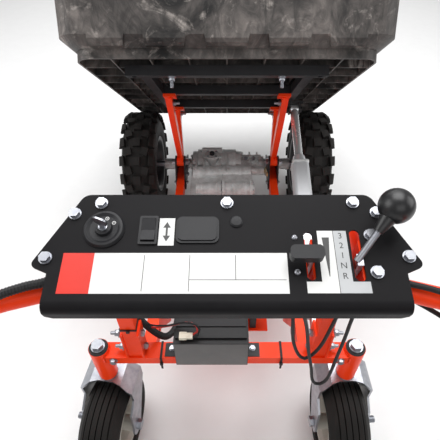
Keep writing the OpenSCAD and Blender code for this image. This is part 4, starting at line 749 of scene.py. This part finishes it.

# %% [markdown]
# ## Panel screws
# The throttle hangs from two pan-head screws with a cross recess. The head is spun; the recess is not cut,
# and two thin dark bars that lie in its top are its painted shade.

# %% Panel screws
screws = bmesh.new()
for s in (-10, -60):
    head = moved(91, s, 0)
    turned(screws, [(0, 2.6), (1.6, 2.5), (3.0, 2.0), (3.9, 1.1), (4.2, 0.0), (0, 0.0)], head, 28)
    # Painted shade: two dark bars on the head stand for the shade inside the uncut cross recess
    for turn in (20, 110):
        block(screws, (-2.2, -0.45, 2.56), (2.2, 0.45, 2.68), index=1, place=head @ rotated(turn, "Z"))
make_piece("throttle_screws", screws, [ZINC, DARK_STEEL], "chassis", PANEL)

# %% [markdown]
# ## Battery plug and band
# The charging plug is two small mouldings pushed together, with a latch on top. The battery's rear wall
# carries a smooth grey band.

# %% Battery plug and band
plug = bmesh.new()
block(plug, (-95, -946, 488.7), (-80, -931, 497.4), 1.2)
block(plug, (-81, -944.5, 489.4), (-68, -932.5, 496.8), 1.0)
block(plug, (-91, -941.5, 497.0), (-74, -935.5, 498.4), 0.6)
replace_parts(make_piece("battery_plug", plug, [PALE_PLASTIC], "chassis"), "battery_leads")
BAND_GREY = finish("grey_battery_band", (0.105, 0.100, 0.098), (0.085, 0.081, 0.079), 0.40,
                   grain=(700.0, 0.05))
band = bmesh.new()
block(band, (-106.5, -950.5, 395.0), (42.5, -950.05, 481.0), 0.15)
make_piece("battery_band", band, [BAND_GREY], "chassis")

# %% [markdown]
# ## Cable ties
# A tie pulls tight into the smallest loop round what it holds. That is the convex outline of the section, so
# the helper takes section points, wraps them, and gives the loop a width and a thickness. A block makes the
# lock.


# %% Cable ties
def wrapped(points):
    points = sorted(set(points))
    chains = []
    for run in (points, points[::-1]):
        chain = []
        for q in run:
            while len(chain) > 1 and ((chain[-1][0] - chain[-2][0]) * (q[1] - chain[-2][1])
                                      - (chain[-1][1] - chain[-2][1]) * (q[0] - chain[-2][0])) <= 0:
                chain.pop()
            chain.append(q)
        chains.append(chain[:-1])
    return chains[0] + chains[1]


def round_points(x, y, r, count=16):
    angles = [2 * math.pi * k / count for k in range(count)]
    return [(round(x + r * math.cos(a), 3), round(y + r * math.sin(a), 3)) for a in angles]


def rectangle(left, right, near, far):
    return [(left, near), (right, near), (left, far), (right, far)]


def strap(bm, loop, place, wide=4.8, thick=1.2):
    loop = wrapped([q for x, y in loop for q in round_points(x, y, 0.5 + thick)])
    outer = [bm.verts.new((x, y, -wide / 2)) for x, y in loop]
    edges = [bm.edges.new(pair) for pair in zip(outer, outer[1:] + outer[:1])]
    raised = bmesh.ops.extrude_edge_only(bm, edges=edges)["geom"]
    bmesh.ops.translate(bm, vec=(0, 0, wide), verts=verts_in(raised))
    sides = [f for f in raised if isinstance(f, bmesh.types.BMFace)]
    bmesh.ops.recalc_face_normals(bm, faces=sides)
    doubled = bmesh.ops.solidify(bm, geom=sides, thickness=thick)["geom"]
    solid = {*outer, *verts_in(raised), *verts_in(doubled)}
    bmesh.ops.transform(bm, matrix=place, verts=list(solid))


SLACK = 0.2
TIE_LOCK = 0.8
ACROSS_BEAM = SIDEWAYS @ rotated(90, "Z")
ties = bmesh.new()
beam_section = rectangle(BEAM_BACK - SLACK, BEAM_FRONT + SLACK, BEAM_LOW - SLACK, BEAM_TOP + SLACK)
for x in (-143, 118):
    strap(ties, beam_section, moved(x, 0, 0) @ ACROSS_BEAM)
    block(ties, (x - 3.6, -940.5, 369.5), (x + 3.6, -935.4, 376.5), TIE_LOCK)
    block(ties, (x - 2.2, -938.6, 352.0), (x + 2.2, -937.4, 370.0))
post_r = POST_HALF + SLACK
post_section = rectangle(-POST_X - post_r, -POST_X + post_r, STEM_Y - post_r, STEM_Y + post_r)
for z, loom in ((500, (-190, -888.4)), (584, (-193, -891.7))):
    strap(ties, post_section + round_points(*loom, 8.2), moved(0, 0, z))
    block(ties, (-200, -936.4, z - 3.5), (-193, -931.6, z + 3.5), TIE_LOCK)
make_piece("cable_ties", ties, [JACKET], "chassis")

# %% [markdown]
# ## Seals on the caster sleeves
# A rubber lip keeps water out of the top of each sleeve, and a zinc dust ring closes its foot. Both are half
# outlines spun about the stem.

# %% Sleeve seals
LIP = [(19.4, 402.05), (21.0, 402.05), (21.2, 402.8), (20.8, 403.6), (19.4, 403.8), (19.4, 402.05)]
DUST_RING = [(19.3, 287.3), (22.2, 287.3), (22.4, 288.0), (22.4, 289.2), (22.2, 289.9), (19.3, 289.9),
             (19.3, 287.3)]
seals = bmesh.new()
for side in (-1, 1):
    stem = moved(side * STEM_X, STEM_Y, 0)
    turned(seals, LIP, stem, 48)
    turned(seals, DUST_RING, stem, 48, index=1)
make_piece("sleeve_seals", seals, [GRIP_RUBBER, ZINC], "chassis")

# %% [markdown]
# ## Weld beads
# A weld bead is a row of overlapping ripples, so the helper sweeps a small round section along the seam and
# lets its size pulse. The seams follow the sleeves, the post brackets and the posts' heads.


# %% Weld beads
RING_STEPS = 8
RIPPLE = 0.18
RIPPLE_TURN = 2.1
SLEEVE_R = 22
BEAM_END_X = 267.3
POST_HEAD_Z = 765.2
PROUD = 0.2


def bead(bm, path, radius=2.6, step=1.6):
    points = [Vector(p) for p in path]
    dense = []
    for a, b in zip(points, points[1:]):
        count = max(1, round((b - a).length / step))
        dense += [a.lerp(b, k / count) for k in range(count)]
    dense.append(points[-1])
    rings = []
    for k, point in enumerate(dense):
        along = (dense[min(k + 1, len(dense) - 1)] - dense[max(k - 1, 0)]).normalized()
        side = along.orthogonal().normalized()
        other = along.cross(side)
        taper = 0.5 if k in (0, len(dense) - 1) else 1.0
        size = radius * (1 - RIPPLE + RIPPLE * math.cos(k * RIPPLE_TURN)) * taper
        angles = [2 * math.pi * j / RING_STEPS for j in range(RING_STEPS)]
        spokes = [math.cos(angle) * side + math.sin(angle) * other for angle in angles]
        rings.append([bm.verts.new(point + size * spoke) for spoke in spokes])
    for a, b in zip(rings, rings[1:]):
        for j in range(RING_STEPS):
            following = (j + 1) % RING_STEPS
            bm.faces.new((a[j], a[following], b[following], b[j]))
    bm.faces.new(rings[0][::-1])
    bm.faces.new(rings[-1])


welds = bmesh.new()
for side in (-1, 1):
    around = [(STEM_X - math.sqrt(SLEEVE_R ** 2 - dy ** 2), STEM_Y + dy) for dy in range(-18, 19, 3)]
    bead(welds, [(side * x, y, BEAM_TOP) for x, y in around])
    for y in (BEAM_BACK + 0.5, BEAM_FRONT - 0.5):
        bead(welds, [(side * BEAM_END_X, y, z) for z in (BEAM_TOP - 2, BEAM_LOW + 1)])
    bead(welds, [(side * x, BEAM_FRONT, BEAM_LOW - PROUD) for x in (163, 189)])
    for face in (-1, 1):
        bracket = side * (POST_X + face * 19)
        bead(welds, [(bracket, y, BEAM_TOP + PROUD) for y in (BEAM_BACK + 1, BEAM_FRONT - 1)])
        head = side * (POST_X + face * 14.5)
        bead(welds, [(head, y, POST_HEAD_Z) for y in (STEM_Y - POST_HALF, STEM_Y + POST_HALF)])
bmesh.ops.recalc_face_normals(welds, faces=welds.faces)
make_piece("frame_welds", welds, [FRAME_PAINT], "chassis")

# %% [markdown]
# ## Threads on the caster bolts
# The axle bolt's end stands out of its nut, on each caster's outer side. One small tooth profile is spun up a
# helix, so that the crests run on as a real thread does. A washer's rim shows round the nut.


# %% Caster threads
THREAD_DEPTH = 0.7


def thread(bm, radius, pitch, turns, place, steps=20):
    crest = radius + THREAD_DEPTH
    profile = [(radius, 0, 0), (crest, 0, 0.3 * pitch), (crest, 0, 0.6 * pitch), (radius, 0, 0.9 * pitch)]
    old = set(bm.verts)
    verts = [bm.verts.new(p) for p in profile]
    edges = [bm.edges.new(pair) for pair in zip(verts, verts[1:])]
    bmesh.ops.spin(bm, geom=verts + edges, cent=(0, 0, 0), axis=(0, 0, 1), angle=2 * math.pi * turns,
                   dvec=(0, 0, pitch / steps), steps=steps * turns)
    fresh = [v for v in bm.verts if v not in old]
    bmesh.ops.recalc_face_normals(bm, faces=list({f for v in fresh for f in v.link_faces}))
    bmesh.ops.transform(bm, matrix=place, verts=fresh)


CASTER_TRAIL = 54
CASTER_R = 127
WASHER_RIM = [(13.2, -63.2), (17.0, -63.2), (17.0, -65.4), (13.2, -65.4), (13.2, -63.2)]
for side, turn, body in ((-1, -8, "caster_left"), (1, 2, "caster_right")):
    swivel = moved(side * STEM_X, STEM_Y, 0) @ rotated(turn, "Z")
    axle = swivel @ moved(0, -CASTER_TRAIL, CASTER_R) @ rotated(-90 * side, "Y")
    bolt_end = bmesh.new()
    thread(bolt_end, 8.0, 2.0, 7, axle @ moved(0, 0, -92.5))
    turned(bolt_end, WASHER_RIM, axle, 40)
    make_piece(body + "_threads", bolt_end, [ZINC], body)

# %% [markdown]
# ## Post bolts
# Long bolts clamp each post in its bracket. Outside, every bolt carries a flange nut and a length of bare
# shank, the way bolts from a mixed box end up. Nuts like this turn up on the wheels and the tub too, so a
# helper stacks the flange, the hexagon and the end of the bolt.


# %% Post bolts
def nut_and_end(bm, seat, flange, across, nut, edge, end):
    turned(bm, flange, seat, 28)
    hex_prism(bm, across, *nut, seat, edge)
    turned(bm, end, seat, 20)


POST_FLANGE = [(0, 0), (9.5, 0), (9.5, 1.6), (7.4, 2.6), (0, 2.6)]
POST_END = [(0, 9.4), (3.9, 9.4), (3.9, 18), (3.2, 18.8), (0, 18.8)]
tails = bmesh.new()
for side in (-1, 1):
    for z in (BEAM_TOP + 18, BEAM_TOP + 72):
        outer = moved(side * 222.2, STEM_Y, z) @ rotated(90 * side, "Y")
        nut_and_end(tails, outer, POST_FLANGE, 13, (2.4, 9.6), 0.7, POST_END)
make_piece("post_bolt_tails", tails, [ZINC], "chassis")

# %% [markdown]
# ## Drive wheel hardware
# Four bolts clamp each pressed disc to its hub, and a rubber valve stands in the disc at the foot of the rim.

# %% Drive wheel hardware
WHEEL_X = 326
WHEEL_R = 203
BOLT_CIRCLE_R = 46
VALVE_R = 86
WHEEL_FLANGE = [(0, 14.5), (11, 14.5), (11, 19.4), (0, 19.4)]
WHEEL_END = [(0, 25.8), (5, 25.8), (4.4, 29), (0, 29)]
VALVE = [(0, -2), (6.5, -2), (6.8, 7), (5.0, 10), (4.2, 26), (4.6, 26.2), (4.6, 34), (3.6, 35.5), (0, 35.5)]
for side, body in ((-1, "drive_wheel_left"), (1, "drive_wheel_right")):
    outward = moved(side * WHEEL_X, 0, WHEEL_R) @ rotated(90 * side, "Y")
    hardware = bmesh.new()
    for k in range(4):
        seat = outward @ rotated(45 + 90 * k, "Z") @ moved(BOLT_CIRCLE_R, 0, 0)
        nut_and_end(hardware, seat, WHEEL_FLANGE, 16, (19.0, 26.0), 0.8, WHEEL_END)
    turned(hardware, VALVE, outward @ rotated(70, "Z") @ moved(VALVE_R, 0, 0), 24, index=1)
    make_piece(body + "_hardware", hardware, [ZINC, GRIP_RUBBER], body)

# %% [markdown]
# ## Transaxle hardware
# The two halves of the case are drawn together by flange bolts along the parting line. The gear tower has a
# capped cover, and the upper cover has a filler plug with corner screws.

# %% Transaxle hardware
TOWER_TOP = moved(-58, -30, 271.8)
FILLER = moved(58, -188, 243.9)
case = bmesh.new()
for x, z in ((-131, 235), (75, 235), (105, 235), (-131, 180), (105, 180)):
    seat = moved(x, -5.5, z) @ REARWARD
    turned(case, [(0, 0), (8.5, 0), (8.5, 1.6), (6.8, 2.4), (0, 2.4)], seat, 24)
    hex_prism(case, 10, 2.0, 8.0, seat, 0.6)
for k in range(4):
    seat = TOWER_TOP @ rotated(45 + 90 * k, "Z") @ moved(22, 0, 0)
    turned(case, [(0, 4.2), (2.6, 4.2), (3.8, 3.2), (3.8, 0), (0, 0)], seat, 20)
turned(case, [(0, 11), (7, 10.6), (9.4, 8), (10, 0), (0, 0)], TOWER_TOP, 32, index=1)
for x in (-12, 84):
    for y in (-217, -83):
        hex_prism(case, 10, 243.8, 249.5, moved(x, y, 0), 0.6)
turned(case, [(0, 3), (14, 3), (14, 0), (0, 0)], FILLER, 32)
hex_prism(case, 19, 2.6, 13.1, FILLER, 1.0)
make_piece("transaxle_hardware", case, [ZINC, BLACK_PLASTIC], "chassis")

# %% [markdown]
# ## The reduction barrel
# On top of the case lies a turned housing with bolted flanges, cast with it but machined on its outside. Its
# half outline goes round the axis once, and the flange screws are one screw copied round.

# %% Reduction barrel
BARREL_AXIS = moved(0, -204, 246) @ SIDEWAYS
HOUSING = [(0, -18), (30, -18), (31, -17), (31, -11), (30, -10), (25, -9), (24.5, -4), (24.5, 20),
           (25.5, 21), (25.5, 27), (24.5, 28), (24.5, 66), (25.5, 67), (25.5, 73), (24.5, 74), (25, 83),
           (30, 84), (31, 85), (31, 91), (30, 92), (19, 92), (18, 99), (0, 99)]
SNOUT = [(0, -112), (17, -112), (19, -110), (21, -92), (23, -90), (23, -40), (26, -38), (26, -20), (0, -20)]
SCREW_CIRCLE_R = 26.8
barrel = bmesh.new()
turned(barrel, HOUSING, BARREL_AXIS, 48)
turned(barrel, SNOUT, BARREL_AXIS, 40)
for k in range(6):
    seat = BARREL_AXIS @ rotated(60 * k, "Z") @ moved(SCREW_CIRCLE_R, 0, 0)
    for low, high in ((91.8, 95.5), (-21.5, -17.8)):
        hex_prism(barrel, 6.4, low, high, seat, 0.4, index=1)
make_piece("reduction_barrel", barrel, [CAST_ALLOY, ZINC], "chassis")

# %% [markdown]
# ## Bolts under the tub
# The bar across the tub's rear is held by two bolts whose nuts and spare thread hang below it, and a cross
# bolt goes through each prong of the lift arms, near its end. They ride with the tub.

# %% Tub bolts
SUB_BOTTOM = 181.0
PRONG_SHARE = 0.9
BAR_FLANGE = [(0, -0.5), (10, -0.5), (10, 2), (0, 2)]
BAR_END = [(0, 9.5), (4, 9.5), (4, 25), (3.2, 26), (0, 26)]
CROSS_FLANGE = [(0, -0.3), (9, -0.3), (9, 1.8), (0, 1.8)]
CROSS_END = [(0, 8.2), (4, 8.2), (4, 19), (3.2, 20), (0, 20)]
tub_bolts = bmesh.new()
for side in (-1, 1):
    seat = moved(side * 133, -565, SUB_BOTTOM) @ rotated(180, "X")
    nut_and_end(tub_bolts, seat, BAR_FLANGE, 14, (1.8, 9.8), 0.8, BAR_END)
    thread(tub_bolts, 3.8, 1.5, 10, seat @ moved(0, 0, 10))
    for y in (-343, -111):
        prong = moved(side * 163.2, y * PRONG_SHARE, SUB_BOTTOM * PRONG_SHARE)
        nut_and_end(tub_bolts, prong @ rotated(-90 * side, "Y"), CROSS_FLANGE, 13, (1.6, 8.4), 0.7, CROSS_END)
make_piece("tub_bolts", tub_bolts, [ZINC], "tub", TUB)

# %% [markdown]
# ## Actuator ends
# The square tube is closed by a die-cast cap, held by four long screws, with a wiper ring where the rod
# comes out. A cast collar closes the other end.

# %% Actuator ends
ALLOY, RUBBER, SCREW = range(3)
WIPER = [(12.6, 518.4), (13.7, 518.4), (13.7, 520.6), (13.2, 521.2), (12.6, 521.2), (12.6, 518.4)]
SCREW_HEAD = [(0, 497.2), (2.4, 497.2), (3.6, 496.4), (3.6, 494.2), (0, 494.2)]
SCREW_PLACE = 18.5
ends = bmesh.new()
block(ends, (-24.6, 484, -24.6), (24.6, 494.5, 24.6), 3.0, index=ALLOY)
block(ends, (-24.8, 33, -24.8), (24.8, 58, 24.8), 3.0, index=ALLOY)
turned(ends, WIPER, FORWARD, 40, index=RUBBER)
for x in (-SCREW_PLACE, SCREW_PLACE):
    for z in (-SCREW_PLACE, SCREW_PLACE):
        turned(ends, SCREW_HEAD, moved(x, 0, z) @ FORWARD, 20, index=SCREW)
make_piece("actuator_ends", ends, [CAST_ALLOY, GRIP_RUBBER, ZINC], "actuator", ACTUATOR)

# %% [markdown]
# ## Engine details
# Under the tub sits an ordinary vertical-shaft engine. It gets ribs round its fuel cap, a spark plug with its
# boot, and a cap on its dipstick.

# %% Engine details
FUEL_CAP = moved(70, -745, 409.5)
FUEL_CAP_R = 26
RIBS = 20
PLUG_AXIS = moved(0, -480.5, 290) @ FORWARD
engine = bmesh.new()
for k in range(RIBS):
    rib = FUEL_CAP @ rotated(360 / RIBS * k, "Z") @ moved(FUEL_CAP_R, 0, 0)
    block(engine, (-0.8, -1.5, -6.0), (0.8, 1.5, 6.0), place=rib)
turned(engine, [(0, 22), (5.5, 22), (6, 8), (9.5, 8), (9.5, -1), (0, -1)], PLUG_AXIS, 24, index=1)
turned(engine, [(0, 40), (7, 40), (8.5, 37), (8.5, 20), (6.2, 18), (0, 18)], PLUG_AXIS, 24)
dipstick = [(0, 30), (10, 30), (11.5, 27), (11.5, 20), (6, 18), (6, 0), (0, 0)]
turned(engine, dipstick, moved(-62, -650, 245), 24)
make_piece("engine_details", engine, [BLACK_PLASTIC, ZINC], "chassis")
